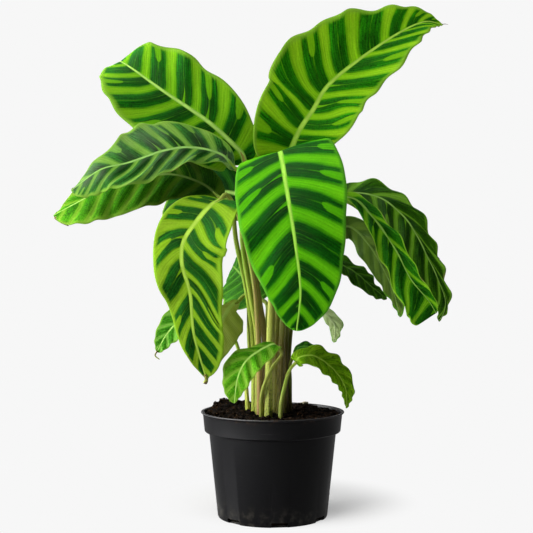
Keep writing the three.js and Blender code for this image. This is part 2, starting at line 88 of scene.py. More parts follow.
# The nodes of a new material, or of another owner such as the world.
class Shader:
    def __init__(self, name, owner=None):
        self.owner = owner or bpy.data.materials.new(name)
        self.owner.use_nodes = True
        self.tree = self.owner.node_tree
        self.tree.nodes.clear()

    # Adds any node: its settings first, then the values, links or hex colours of its sockets.
    def add(self, kind, settings=None, sockets=None, output=0):
        node = self.tree.nodes.new(kind)
        for name, value in (settings or {}).items():
            setattr(node, name, value)
        named = sockets.items() if isinstance(sockets, dict) else enumerate(sockets or [])
        for name, value in named:
            if isinstance(value, Value):
                self.tree.links.new(value.socket, node.inputs[name])
            else:
                node.inputs[name].default_value = paint(value) if isinstance(value, str) else value
        return Value(self, node.outputs[output] if node.outputs else None)

    def place(self, kind="Object"):
        return self.add("ShaderNodeTexCoord", None, None, kind)

    def ray(self, kind):
        return self.add("ShaderNodeLightPath", None, None, "Is " + kind + " Ray")

    def split(self, vector):
        node = self.add("ShaderNodeSeparateXYZ", None, [vector]).socket.node
        return [Value(self, output) for output in node.outputs]

    # The numbers of a piece's own UV map.
    def mapped(self, name):
        return self.split(self.add("ShaderNodeUVMap", {"uv_map": name}))

    def join(self, x, y):
        return self.add("ShaderNodeCombineXYZ", None, [x, y])

    def mix(self, share, first, second):
        return self.add("ShaderNodeMix", {"data_type": "RGBA"}, {0: share, 6: first, 7: second}, 2)

    # Goes smoothly from 0 at low to 1 at high.
    def rise(self, value, low, high):
        return self.add("ShaderNodeMapRange", {"interpolation_type": "SMOOTHSTEP"}, [value, low, high])

    def clamp(self, value):
        return self.add("ShaderNodeClamp", None, [value])

    def noise(self, vector, scale, detail=2, roughness=0.5):
        return self.add("ShaderNodeTexNoise", None, {
            "Vector": vector, "Scale": scale, "Detail": detail, "Roughness": roughness,
        })

    # Noise on a piece's own two numbers, each already multiplied by how often it changes.
    def streaks(self, along, across, detail=2, roughness=0.6):
        return self.noise(self.join(along, across), 1, detail, roughness)

    def stretched(self, place, scale):
        return self.add("ShaderNodeMapping", None, {"Vector": place, "Scale": scale})

    # An even chance from 0 to 1 for each whole number, different in each row.
    def chance(self, number, row):
        spot = self.join(number, row)
        return self.add("ShaderNodeTexWhiteNoise", {"noise_dimensions": "2D"}, {"Vector": spot})

    def brighten(self, colour, amount):
        return self.add("ShaderNodeVectorMath", {"operation": "SCALE"}, {0: colour, "Scale": amount})

    # Height is a share of the distance, which is in metres.
    def bump(self, height, distance, strength):
        sockets = {"Height": height, "Distance": distance, "Strength": strength}
        return self.add("ShaderNodeBump", None, sockets)

    # The whole surface, and for a thin piece the colour of the light through it and its share.
    def finish(self, colour, roughness, normal, shine, more=None, throughColour=None, through=0):
        surface = self.add("ShaderNodeBsdfPrincipled", None, {
            "Base Color": colour, "Roughness": roughness, "Normal": normal, "Specular IOR Level": shine,
            **(more or {}),
        })
        if throughColour:
            glow = self.add("ShaderNodeBsdfTranslucent", None, {"Color": throughColour})
            surface = self.add("ShaderNodeMixShader", None, [through, surface, glow])
        self.add("ShaderNodeOutputMaterial", None, {"Surface": surface})
        return self.owner


def unit(vectors):
    return vectors / np.linalg.norm(vectors, axis=-1, keepdims=True)


def lerp(first, second, share):
    return first + (second - first) * share


# A smooth curve through points. Shares are shares of its length.
class Curve:
    def __init__(self, points):
        points = np.array(points, float)
        before = 2 * points[0] - points[1]
        after = 2 * points[-1] - points[-2]
        self.knots = np.vstack([before, points, after])
        self.marks = np.linspace(0, 1, 201)
        hops = np.diff(self.between(self.marks), axis=0)
        self.lengths = np.concatenate([[0], np.cumsum(np.linalg.norm(hops, axis=1))])

    # The point at an even share of the way from knot to knot.
    def between(self, share):
        spans = len(self.knots) - 3
        place = np.clip(np.asarray(share, float), 0, 1) * spans
        knot = np.minimum(place.astype(int), spans - 1)
        t = (place - knot)[..., None]
        a, b, c, d = [self.knots[knot + i] for i in range(4)]
        out = 0.5 * (c - a)
        back = 0.5 * (d - b)
        return (2 * b - 2 * c + out + back) * t**3 + (3 * c - 3 * b - 2 * out - back) * t**2 + out * t + b

    def mark(self, share):
        return np.interp(np.clip(share, 0, 1) * self.lengths[-1], self.lengths, self.marks)

    def point(self, share):
        return self.between(self.mark(share))

    def heading(self, share):
        mark = self.mark(share)
        return unit(self.between(mark + 1e-4) - self.between(mark - 1e-4))


def meshFrom(bm, name):
    mesh = bpy.data.meshes.new(name)
    bm.to_mesh(mesh)
    bm.free()
    return mesh


def addObject(name, data):
    made = bpy.data.objects.new(name, data)
    bpy.context.scene.collection.objects.link(made)
    return made


# Turns a bmesh into a named piece of the plant that rides on the frame and stands for its CAD node.
def addPiece(name, bm, materials, node=None, smooth=True):
    mesh = meshFrom(bm, name)
    for material in materials:
        mesh.materials.append(material)
    mesh.polygons.foreach_set("use_smooth", [smooth] * len(mesh.polygons))
    piece = addObject(name, mesh)
    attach(piece, "root")
    if node:
        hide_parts(node)
    return piece


# A flat grid of faces with its corners at (0, 0) and (1, 1), and those places as its UV map.
def newSheet(rows, columns):
    bm = bmesh.new()
    bm.loops.layers.uv.new("sheet")
    bmesh.ops.create_grid(bm, x_segments=rows, y_segments=columns, size=0.5, calc_uvs=True)
    bmesh.ops.translate(bm, verts=bm.verts, vec=(0.5, 0.5, 0))
    return bm


def placesOf(bm):
    return np.array([v.co for v in bm.verts])


# Moves the vertices to points in millimetres.
def moveTo(bm, points):
    for vert, point in zip(bm.verts, points * mm):
        vert.co = point


# A sheet rolled around a route. "radiusAt" gives its radius, in millimetres, for shares of the route's
# length and angles around it, and "thin" flattens it. The seam is joined and both ends are closed.
def rollTube(route, rings, sides, radiusAt, thin=1):
    bm = newSheet(rings, sides)
    flat = placesOf(bm)
    along = flat[:, 0]
    ring = np.rint(along * rings).astype(int)
    angle = flat[:, 1] * 2 * np.pi
    shares = np.linspace(0, 1, rings + 1)
    headings = route.heading(shares)
    across = [np.array([1.0, 0.0, 0.0])]
    for heading in headings:
        across.append(unit(across[-1] - heading * np.dot(across[-1], heading)))
    across = np.array(across[1:])
    fronts = np.cross(headings, across)
    offset = across[ring] * np.cos(angle)[:, None] + fronts[ring] * thin * np.sin(angle)[:, None]
    moveTo(bm, route.point(shares)[ring] + offset * radiusAt(along, angle)[:, None])
    bmesh.ops.remove_doubles(bm, verts=bm.verts, dist=mergeWithin)
    bmesh.ops.holes_fill(bm, edges=[e for e in bm.edges if e.is_boundary], sides=0)
    bmesh.ops.recalc_face_normals(bm, faces=bm.faces)
    return bm


# A closed shape spun around the upright axis from its outline of radii and heights in millimetres.
def spinOutline(outline, steps):
    bm = bmesh.new()
    line = [bm.verts.new((radius * mm, 0, height * mm)) for radius, height in outline]
    for first, second in zip(line, line[1:]):
        bm.edges.new((first, second))
    bmesh.ops.spin(
        bm, geom=bm.verts[:] + bm.edges[:], cent=(0, 0, 0), axis=(0, 0, 1), angle=fullTurn,
        steps=steps, use_merge=True,
    )
    bmesh.ops.remove_doubles(bm, verts=bm.verts, dist=mergeWithin)
    bmesh.ops.recalc_face_normals(bm, faces=bm.faces)
    return bm


# One half of a blade: its greatest width, how full it is towards the stalk and towards the tip, its tilt
# up from the rib at the stalk and at the tip, its further tilt at the margin, how far its lobe reaches
# back past the stalk's end, and its waves: how many, how high, their share of the width, and their start.
def half(width, stalkEnd, tipEnd, tilt, curl, lobe, waves):
    return {
        "width": width, "stalkEnd": stalkEnd, "tipEnd": tipEnd, "tilt": tilt, "curl": curl,
        "lobe": lobe, "waves": waves,
    }


# The dark bands of a blade near the rib and further out, and its light stripes from dim to bright.
def greens(dark, deep, light, lime):
    return {"dark": dark, "deep": deep, "light": light, "lime": lime}


# How a common blade looks. Stripes, tongues and feathers are shares of the distance
# from stripe to stripe, the waves are millimetres, and a blade's own look changes some of them.
commonLook = {
    **greens("#083602", "#105a06", "#5aaa08", "#93d214"),
    "rib": "#b6e472",
    "margin": "#7dab35",
    "edge": "#8d8f4e",
    "under": "#6f7f3c",
    "underDark": "#4c6029",
    "hair": "#5ea022",  # the finest veins
    # A painted sheen: grey clouds that stand for light mirrored off the blade.
    "paintedSheenColour": "#8fa884",
    "paintedSheen": 0,
    "gloss": 0.5,
    "shine": 0.03,
    "stripes": [8, 8],  # left and right: how many, or their starts along the rib
    "sweep": [1.65, 1.65],  # left and right: how far the side veins run towards the tip
    "bend": 1.25,
    "stripe": 0.17,
    "tongue": 0.15,
    "tongueStart": 0.42,
    "tongueMost": 0.6,  # the share of stripes with a tongue between them
    "feather": 0.06,
    "soft": 0.06,
    "border": 0.93,  # where the light margin begins
    "drift": 0.16,
    "pattern": 1,
    "ribSize": 1,
    "ribShows": 1,
    "ruffle": 0.9,
    "crease": 0.12,
    "pleat": 0.9,
    "scallop": 0.8,
    "paintedShade": 0,  # painted shade: how much darker the blade is near the stalk, where the blades above shadow it
    "paintedShadeStripes": 5,  # and over how many stripes
}

# Each leaf: the points of its midrib, the directions that its upper side faces on the way, its left and
# right halves seen on the upper side with the tip up, its stalk, its slot and its look. Sizes are in
# millimetres. The stalk has its foot, the points on its way, and its radius at the foot and at the blade.
leaves = {
    "upper_right": {
        "rib": [
            [15, 2, 418], [31, -2, 456], [48, 0, 482], [71, 6, 517], [134, 25, 567], [183, 45, 596],
            [212, 60, 597],
        ],
        "face": [[0.1, -1, 0.1], [0.1, -1, 0.3], [0, -1, 0.6]],
        "halves": [
            half(67, 0.55, 0.95, [8, 8], 10, 18, [4, 2, 0.03, 0.8]),
            half(49.5, 0.45, 0.85, [8, 8], 6, 6, [3, 2, 0.03, 0.3]),
        ],
        "stalk": {"from": [5, 9], "way": [[6, 8, 190], [7, 6, 300], [10, 4, 372]], "radius": [4.8, 2.6]},
        "slot": "blade_striped",
        "look": {
            **greens("#0f4a02", "#1f7204", "#5ca408", "#94cc1c"), "rib": "#a0c84a", "stripe": 0.165,
            "scallop": 3, "ruffle": 1.2, "sweep": [1.4, 1.85],
            "stripes": [
                [0.052, 0.135, 0.217, 0.302, 0.408, 0.525, 0.7, 0.792, 0.88],
                [0.143, 0.215, 0.315, 0.43, 0.588, 0.688, 0.782, 0.853],
            ],
        },
        "stem": {"low": "#6c6a24", "high": "#86a234"},
    },
    "front": {
        "rib": [
            [6, -18, 410], [7, -32, 426], [9, -58, 423], [15, -95, 381], [23, -118, 327], [29, -130, 271],
            [25, -130, 227],
        ],
        "face": [[0, -0.3, 1], [0, -1, 0.5], [0, -1, 0.1]],
        "halves": [
            half(63.5, 0.3, 0.55, [24, -4], -10, 2, [2, 2, 0.02, 0.5]),
            half(57, 0.46, 0.57, [-12, 4], -10, 2, [3, 2, 0.01, 0.5]),
        ],
        "stalk": {
            "from": [-5, -35], "way": [[-4, -33, 200], [0, -22, 300], [4, -12, 370]], "radius": [4.8, 2.6],
        },
        "slot": "blade_striped",
        "look": {
            **greens("#032802", "#084a02", "#3e9806", "#64b80e"), "rib": "#a2d850", "margin": "#4c9424",
            "stripe": 0.165, "border": 0.965, "tongueStart": 0.46, "tongueMost": 0.75, "soft": 0.085,
            "sweep": [1.45, 1.6],
            "stripes": [
                [0.225, 0.357, 0.503, 0.685, 0.805, 0.907],
                [0.12, 0.25, 0.38, 0.54, 0.73, 0.848, 0.935],
            ],
        },
        "stem": {"low": "#aab94e", "high": "#a0984e", "specks": 0.8},
    },
    "upper_left": {
        "rib": [
            [-33, 16, 420], [-38, 14, 433], [-52, 12, 447], [-79, 12, 471], [-131, 18, 507],
            [-168, 32, 535], [-184, 48, 547], [-190, 66, 552],
        ],
        "face": [[0, -1, 0.5], [0, -1, 0.5], [-0.1, -0.6, 1.2]],
        "halves": [
            half(64, 0.55, 0.6, [8, -12], 0, 6, [3, 2, 0.03, 0.9]),
            half(52.5, 0.5, 0.42, [8, 30], 0, 8, [3, 2, 0.03, 0.4]),
        ],
        "stalk": {
            "from": [-7, 13], "way": [[-9, 13, 205], [-17, 13, 260], [-28, 15, 335]], "radius": [4.6, 2.5],
        },
        "slot": "blade_striped",
        "look": {
            "light": "#509608", "lime": "#7cb41a", "scallop": 2, "ruffle": 1.4, "rib": "#a5cf62",
            "stripes": [
                [0.2, 0.34, 0.487, 0.64, 0.76, 0.88],
                [0.088, 0.235, 0.383, 0.537, 0.725, 0.902],
            ],
        },
        "stem": {"low": "#8f7f48", "high": "#8f8c46", "dryShare": 0.2},
    },
    "left_arching": {
        "rib": [
            [-43, -20, 410], [-61, -28, 427], [-93, -42, 433], [-124, -54, 428], [-162, -62, 414],
            [-195, -66, 405], [-228, -64, 382],
        ],
        "face": [[0, -0.8, 1], [0, -1, 0.8], [0, -1, 0.8]],
        "halves": [
            half(30, 0.8, 0.4, [0, 0], -20, 5, [3, 3, 0.03, 0.06]),
            half(47, 1.2, 1.6, [4, 4], 0, 0, [2, 3, 0.02, 0]),
        ],
        "stalk": {
            "from": [-17, -4], "way": [[-18, -5, 209], [-26, -7, 262], [-36, -12, 331]],
            "radius": [4.6, 2.5],
        },
        "slot": "blade_striped",
        "look": {
            **greens("#062204", "#2a661f", "#5e962e", "#84b048"), "stripe": 0.13, "rib": "#92c066",
            # This blade carries the strongest painted sheen.
            "paintedSheen": 0.3, "scallop": 2, "ruffle": 2, "pleat": 2, "ribSize": 0.75, "sweep": [1.9, 1.35],
            "stripes": [
                9,
                [0.155, 0.307, 0.41, 0.527, 0.713, 0.87],
            ],
        },
        "stem": {"low": "#9aa83a", "high": "#7ea82c"},
    },
    "left_lower": {
        "rib": [
            [-59, -18, 375], [-86, -16, 395], [-128, -20, 404], [-189, -30, 389], [-229, -38, 368],
            [-253, -38, 355],
        ],
        "face": [[0, -1, 0.8], [0, -1, 0.8], [0, -1, 1]],
        "halves": [
            half(39.5, 0.75, 0.5, [-8, -8], -10, 2, [3, 3, 0.02, 0.6]),
            half(34, 0.8, 1, [4, 4], -6, 5, [4, 3, 0.03, 0.8]),
        ],
        "stalk": {
            "from": [-22, 8], "way": [[-23, 8, 205], [-31, 3, 268], [-43, -4, 325]], "radius": [4.4, 2.5],
        },
        "slot": "blade_striped",
        "look": {
            # Painted shade darkens its base near the stalk, under the blade above.
            **greens("#2c7208", "#509816", "#6cae20", "#8ebe3a"), "paintedShade": 0.72, "paintedShadeStripes": 4.6,
            "pattern": 0.85, "stripe": 0.15, "tongueMost": 0.4, "scallop": 1.2, "ruffle": 1.5, "pleat": 1.8,
            "ribSize": 0.6, "stripes": [9, 9],
        },
        "stem": {"low": "#9aae38", "high": "#78a02a"},
    },
    "front_left": {
        "rib": [
            [-59, -50, 373], [-70, -68, 365], [-83, -82, 349], [-98, -94, 325], [-100, -100, 300],
            [-91, -102, 266], [-87, -100, 222], [-74, -92, 173],
        ],
        "face": [[0, -0.5, 1], [-0.1, -1, 0.3], [0, -1, 0.1]],
        "halves": [
            half(44, 0.25, 0.44, [8, 4], 0, 2, [1.6, 1.5, 0.15, 0.7]),
            half(34, 0.24, 0.75, [4, 4], 0, 2, [3, 3, 0.05, 0.59]),
        ],
        "stalk": {
            "from": [-15, -17], "way": [[-16, -18, 200], [-22, -21, 280], [-38, -30, 350]],
            "radius": [4.4, 2.4],
        },
        "slot": "blade_striped",
        "look": {
            **greens("#0e3c0a", "#17580e", "#72a210", "#90b82c"), "rib": "#a8cc4c", "margin": "#8fc02c",
            "stripe": 0.16, "border": 0.91, "scallop": 0.3, "sweep": [2.1, 1.4],
            "stripes": [
                [0.083, 0.23, 0.345, 0.497, 0.562, 0.67, 0.807],
                [0.115, 0.24, 0.393, 0.552, 0.715, 0.863],
            ],
        },
        "stem": {"low": "#a08d4c", "high": "#8aa03c", "dryShare": 0.3},
    },
    "low_left_small": {
        "rib": [[-71, 25, 236], [-92, 22, 241], [-114, 20, 229], [-129, 18, 212], [-139, 16, 193]],
        "face": [[0, -0.5, 1], [0, -1, 0.5], [0, -1, 0.3]],
        "halves": [
            half(16, 0.4, 0.53, [5, 5], 0, 1, [3, 2, 0.06, 0.2]),
            half(20, 0.3, 0.7, [5, 5], 0, 1, [5, 1, 0.04, 0.07]),
        ],
        "stalk": {"from": [-30, 16], "way": [[-33, 20, 160], [-42, 25, 198]], "radius": [3, 1.8]},
        "slot": "blade_striped",
        "look": {
            **greens("#2c7010", "#42881a", "#60a630", "#84be4c"), "feather": 0.12, "tongueMost": 0.2,
            "ribSize": 0.6, "scallop": 1.2, "pleat": 0.6, "ruffle": 1.3, "stripes": [6, 6],
        },
    },
    "back_left": {
        "rib": [
            [-13, 42, 255], [-19, 47, 264], [-32, 58, 278], [-44, 75, 291], [-50, 94, 296], [-52, 112, 292],
        ],
        "face": [[-0.2, -1, 0.5], [-0.8, -0.6, 0.5], [-1, -0.3, 0.45]],
        "halves": [
            half(40, 0.5, 0.8, [0, 0], 0, 3, [3, 2, 0.03, 0.42]),
            half(34, 0.5, 0.6, [0, 0], 0, 3, [3, 2, 0.03, 0.1]),
        ],
        "stalk": {"from": [-11, 27], "way": [[-11, 29, 190]], "radius": [4, 2.2]},
        "slot": "blade_dark",
        "look": {
            **greens("#184604", "#28600c", "#407c1a", "#5a8e2a"), "rib": "#6e943c", "shine": 0.04,
            "stripe": 0.06, "tongue": 0, "border": 0.97, "scallop": 1, "pleat": 1.2, "ribSize": 0.7,
            "stripes": [9, 9],
        },
        "stem": {"low": "#9a8a50", "high": "#6f8c2c", "dryShare": 0.3},
    },
    "front_left_underside": {
        "rib": [[-41, 16, 254], [-50, 10, 250], [-61, 2, 230], [-70, -4, 197], [-77, -4, 163]],
        "face": [[-0.2, 1, 0.6], [-0.4, 1, 0.3], [-0.4, 1, 0]],
        "halves": [
            half(18, 1.1, 0.7, [0, 0], 0, 0, [3, 2, 0.03, 0.42]),
            half(29, 0.5, 1.2, [0, 0], 0, 0, [3, 2, 0.03, 0.1]),
        ],
        "stalk": {"from": [-19, 25], "way": [[-23, 24, 160], [-28, 22, 205]], "radius": [3.4, 2.2]},
        "slot": "blade_olive",
        "look": {
            "ribSize": 0.8, "ribShows": 0.5, "under": "#b8cc5c", "underDark": "#98b048", "scallop": 1,
            "ruffle": 1.5, "stripes": [7, 7],
        },
        "stem": {"low": "#8d9a3a", "high": "#7c962e"},
    },
    "small_front": {
        "rib": [
            [5, -51, 203], [2, -57, 208], [-9, -68, 205], [-29, -84, 192], [-39, -90, 173], [-43, -92, 145],
        ],
        "face": [[0, -0.6, 1], [-0.2, -1, 0.6], [0, -1, 0.2]],
        "halves": [
            half(19, 0.8, 0.9, [5, 5], 0, 1, [4, 1.5, 0.06, 0.04]),
            half(17, 1.5, 0.7, [5, 5], 0, 0, [2, 1.5, 0.08, 0.07]),
        ],
        "stalk": {"from": [-13, -29], "way": [[-12, -38, 150], [-3, -45, 176]], "radius": [3, 1.8]},
        "slot": "blade_striped",
        "look": {
            **greens("#38820a", "#5c9c1a", "#70a82a", "#86b63e"), "feather": 0.12, "tongueMost": 0.1,
            "pattern": 0.75, "ribSize": 0.55, "pleat": 1.2, "stripes": [7, 7],
        },
        "stem": {"low": "#97a044", "high": "#8fa040"},
    },
    "outer_right": {
        "rib": [
            [79, 25, 381], [98, 18, 385], [131, 8, 377], [162, 0, 348], [185, -6, 304], [199, -8, 272],
            [204, -8, 256], [203, -6, 243], [197, -4, 231],
        ],
        "face": [[0, -0.8, 1], [0.3, -1, 0.5], [0.4, -1, 0.2]],
        "halves": [
            half(22, 0.3, 0.9, [5, -3], 0, 0, [7, 3, 0.05, 0.05]),
            half(36, 0.6, 0.8, [5, -3], -10, 5, [6, 3, 0.03, 0.6]),
        ],
        "stalk": {
            "from": [14, 1], "way": [[15, 1, 200], [20, 6, 290], [42, 17, 352]], "radius": [4.6, 2.5],
        },
        "slot": "blade_dark",
        "look": {
            **greens("#0b2e02", "#2c5806", "#528a0e", "#74a832"), "rib": "#88b054", "ribSize": 0.45,
            "stripe": 0.11, "feather": 0.12, "drift": 0.35, "tongueMost": 0.3, "border": 0.97,
            # A faint painted sheen on this blade.
            "scallop": 3.2, "ruffle": 3.2, "pleat": 2.4, "crease": 0.35, "margin": "#5a8c1c", "paintedSheen": 0.06,
            "sweep": [2, 1.8], "stripes": [7, 7],
        },
        # Its dark low colour is painted shade, low in the shaded right of the clump.
        "stem": {"low": "#3e3814", "high": "#66802a"},
    },
    "front_right": {
        "rib": [
            [74, -10, 378], [96, -25, 374], [120, -40, 347], [141, -52, 313], [157, -58, 281],
            [176, -60, 258], [185, -60, 243],
        ],
        "face": [[0, -0.8, 1], [0.2, -1, 0.5], [0.2, -1, 0.2]],
        "halves": [
            half(12, 0.9, 0.5, [48, 48], 10, 0, [5, 2, 0.05, 0.73]),
            half(31, 1, 0.05, [5, 5], 0, 3, [1.9, 3, 0.16, 0.38]),
        ],
        "stalk": {
            "from": [8, -10], "way": [[10, -10, 200], [18, -9, 290], [40, -7, 352]], "radius": [4.4, 2.4],
        },
        "slot": "blade_striped",
        "look": {
            **greens("#0d3e04", "#206606", "#4a920a", "#80ba20"), "rib": "#8cb850", "ribSize": 0.5,
            "stripe": 0.14, "feather": 0.12, "drift": 0.35, "tongueMost": 0.2, "border": 0.97,
            "scallop": 1.8, "ruffle": 2.2, "pleat": 2.4, "crease": 0.35, "margin": "#86c02c",
            "stripes": [5, 6],
        },
        # Its dark low colour is painted shade, low in the shaded right of the clump.
        "stem": {"low": "#5a5420", "high": "#7a9630"},
    },
    "right_underside": {
        "rib": [
            [71, 45, 338], [95, 42, 346], [117, 35, 325], [135, 28, 294], [147, 22, 265], [154, 18, 235],
        ],
        "face": [[0.2, 0.5, 1], [0.8, 1, 0.6], [0.8, 1, 0.2]],
        "halves": [
            half(25, 0.4, 0.95, [5, 5], 0, 3, [3, 2, 0.03, 0.42]),
            half(20, 0.5, 0.6, [5, 5], 0, 3, [3, 2, 0.03, 0.1]),
        ],
        "stalk": {
            "from": [18, 16], "way": [[19, 17, 190], [27, 25, 255], [45, 37, 308]], "radius": [4, 2.2],
        },
        "slot": "blade_olive",
        "look": {
            "ribSize": 0.5, "ribShows": 0.25, "under": "#5f8024", "underDark": "#2f5010", "scallop": 1.5,
            "ruffle": 2.2, "pleat": 1.4, "stripes": [7, 7],
        },
        # Its dark low colour is painted shade, low in the shaded right of the clump.
        "stem": {"low": "#40380f", "high": "#66802a"},
    },
    "right_back": {
        "rib": [[62, 60, 308], [91, 62, 296], [108, 60, 285], [122, 58, 272], [142, 54, 256]],
        "face": [[0, -0.5, 1], [0, -0.6, 1], [0, -0.7, 1]],
        "halves": [
            half(16, 0.5, 0.9, [5, 5], 0, 5, [3, 2, 0.03, 0.42]),
            half(20, 0.5, 0.6, [5, 5], 0, 5, [3, 2, 0.03, 0.1]),
        ],
        "stalk": {
            "from": [14, 30], "way": [[15, 32, 190], [22, 42, 245], [37, 53, 294]], "radius": [4, 2.2],
        },
        "slot": "blade_dark",
        "look": {
            **greens("#1c3e06", "#2a5608", "#3a6c0e", "#4a7c18"), "rib": "#5c8a34", "ribSize": 0.6,
            "stripe": 0.09, "border": 0.98, "margin": "#3f7a1c", "scallop": 1.8, "ruffle": 1.8,
            "pleat": 1.2, "tongueMost": 0.2, "stripes": [7, 7],
        },
        # Its dark low colour is painted shade, low in the shaded right of the clump.
        "stem": {"low": "#3a3012", "high": "#5c7824"},
    },
    "back_small": {
        "rib": [[59, 75, 248], [72, 82, 233], [80, 84, 220], [78, 82, 200]],
        "face": [[0.4, 0.5, 1], [0.8, 1, 0.3], [0.8, 1, 0]],
        "halves": [
            half(10, 0.5, 0.7, [5, 5], 0, 5, [2, 1, 0.03, 0.42]),
            half(10, 0.5, 0.6, [5, 5], 0, 5, [2, 1, 0.03, 0.1]),
        ],
        "stalk": {"from": [5, 41], "way": [[8, 45, 180], [24, 56, 226]], "radius": [3, 1.8]},
        "slot": "blade_pale",
        "look": {
            "under": "#b4c98a", "underDark": "#93ad66", "rib": "#b9cc94", "ribSize": 0.6, "ruffle": 1.5,
            "stripes": [5, 5],
        },
    },
    "small_right": {
        "rib": [
            [26, -52, 186], [31, -54, 193], [48, -55, 194], [70, -52, 178], [83, -48, 157], [85, -42, 133],
        ],
        "face": [[0, -0.6, 1], [0.2, -1, 0.8], [0.6, -1, 0.3]],
        "halves": [
            half(15, 0.47, 0.63, [5, 5], 0, 1, [5, 1, 0.03, 0.98]),
            half(14, 0.3, 0.9, [5, 5], 0, 1, [5, 1, 0.02, 0.42]),
        ],
        "stalk": {"from": [9, -35], "way": [[11, -38, 145]], "radius": [3.9, 1.7]},
        "slot": "blade_dark",
        "look": {
            **greens("#4a7804", "#5e8c08", "#6e9c10", "#86b028"), "rib": "#8fb43e", "ribSize": 0.45,
            "stripe": 0.1, "pattern": 0.5, "feather": 0.12, "border": 0.97, "margin": "#6c9a24",
            "tongueMost": 0.1, "scallop": 1.4, "ruffle": 1.4, "pleat": 0.8,
        },
        "stem": {"low": "#a9b858", "high": "#8cb03a", "specks": 0.8},
    },
    "right_low_edge": {
        "rib": [[27, -2, 192], [31, -3, 200], [43, -2, 201], [61, 2, 192], [75, 4, 178]],
        "face": [[0, -0.2, 1], [0, -0.2, 1], [0.2, -0.2, 1]],
        "halves": [
            half(14, 0.5, 0.7, [5, 5], 0, 5, [2, 1, 0.03, 0.42]),
            half(14, 0.5, 0.6, [5, 5], 0, 5, [2, 1, 0.03, 0.1]),
        ],
        "stalk": {"from": [21, 5], "way": [[21, 3, 160]], "radius": [2.8, 1.8]},
        "slot": "blade_dark",
        "look": {
            **greens("#143f06", "#1f5c0a", "#33780e", "#4c8c1c"), "rib": "#5c963a", "ribSize": 0.6,
            "stripe": 0.1, "border": 0.98, "margin": "#3f7a1c", "stripes": [6, 6],
        },
        # Its dark low colour is painted shade, low in the shaded right of the clump.
        "stem": {"low": "#3a2c12", "high": "#4c681c"},
    },
    "left_back": {
        "rib": [[-20, 40, 368], [-40, 48, 384], [-70, 60, 388], [-110, 74, 374], [-138, 84, 350]],
        "face": [[0, -1, 0.3], [0, -1, 0.3], [-0.2, -1, 0.5]],
        "halves": [
            half(42, 0.4, 0.7, [5, 5], 0, 5, [3, 3, 0.03, 0.42]),
            half(32, 0.5, 0.6, [5, 5], 0, 5, [3, 3, 0.03, 0.1]),
        ],
        "stalk": {
            "from": [2, 25], "way": [[2, 27, 200], [0, 32, 280], [-8, 38, 340]], "radius": [4.2, 2.3],
        },
        "slot": "blade_dark",
        # Its nearly black greens are painted shade: the leaf fills the shadowed gap behind the others.
        "look": {**greens("#042404", "#083806", "#164a0a", "#225e10"), "stripes": [9, 9]},
        "stem": {"low": "#6c6a26", "high": "#5c7a22"},
    },
}

blade = {
    "thickness": 0.7,
    "ribDepth": 1.8,
    "ribTaper": 0.7,
    "ribHalfWidth": (3.5, 0.8),
    "baseHalfWidth": 2.2,
    "tipHalfWidth": 0.5,
    "lobeShare": 0.06,
    "crowding": 1.35,  # how closely the columns stand beside the rib
    "endCrowding": 0.6,  # and the rows at both ends
    "ribFlank": 1.3,  # how far the thick rib spreads, in half widths of the rib
    "firstStripe": 0.4,  # where the first of evenly spread stripes starts, in stripes from the stalk
    "largeFrom": 170,  # the length from which a blade is a large one
    "large": {"rows": 150, "columns": 52, "lines": 12},
    "small": {"rows": 96, "columns": 36, "lines": 7},
    "rightFrom": 20,  # the number of the right half's first stripe, so that its chances are its own
}


# The half width of a blade's side at a share of its length.
def halfWidth(side, share):
    widest = side["stalkEnd"] / (side["stalkEnd"] + side["tipEnd"])
    share = np.clip(share, 0, 1)
    shape = share ** side["stalkEnd"] * (1 - share) ** side["tipEnd"]
    fullest = widest ** side["stalkEnd"] * (1 - widest) ** side["tipEnd"]
    return side["width"] * shape / fullest + lerp(blade["baseHalfWidth"], blade["tipHalfWidth"], share)


# Which way a blade's rib runs and which way its upper side faces there.
def facing(leaf, share):
    heading = leaf["ribCurve"].heading(share)
    up = leaf["faceCurve"].between(share)
    return heading, unit(up - heading * np.sum(up * heading, axis=-1, keepdims=True))


# Points of a blade, in millimetres. "along" follows a side vein from stalk to tip, "across" runs from -1
# at the left margin to 1 at the right. The odd factors keep the small waves from repeating.
def bladePoints(leaf, look, side, along, across, phase, sweep):
    reach = np.abs(across)
    waveCount, waveHeight, waveShare, waveStart = side["waves"]
    outer = 1 - (1 - along) ** sweep
    share = lerp(along, outer, reach ** look["bend"])
    ends = np.sin(np.pi * outer) ** 0.5
    wave = np.sin(2 * np.pi * (waveCount * outer + waveStart)) * ends
    bend = np.radians(side["curl"] * reach / 2) + 1e-6
    turn = 2 * np.pi * phase
    scallop = look["scallop"] * np.cos(turn + 0.4 * np.sin(turn * 0.37)) * reach**5 * ends * outer
    out = halfWidth(side, outer) * reach * (1 + waveShare * wave) * np.sin(bend) / bend + scallop
    tilt = np.radians(lerp(side["tilt"][0], side["tilt"][1], share)) + bend
    lobeRise = (outer / blade["lobeShare"]) * np.exp(1 - outer / blade["lobeShare"])
    lobe = side["lobe"] * reach**1.5 * lobeRise**2
    swell = np.sin(np.pi * along) * np.sin(np.pi * reach)
    pleat = -look["pleat"] * np.cos(turn) * swell * ends
    ruffle = look["ruffle"] * np.sin(turn * 0.83 + waveStart * 9) * reach**3 * ends
    crease = look["crease"] * np.cos(turn * 4.1) * swell
    lift = out * np.sin(tilt) + waveHeight * wave * reach**2 + pleat + ruffle + crease
    heading, up = facing(leaf, share)
    outward = np.cross(heading, up) * np.sign(across)[..., None]
    point = leaf["ribCurve"].point(share) + outward * (out * np.cos(tilt))[..., None]
    return point - heading * lobe[..., None] + up * lift[..., None]


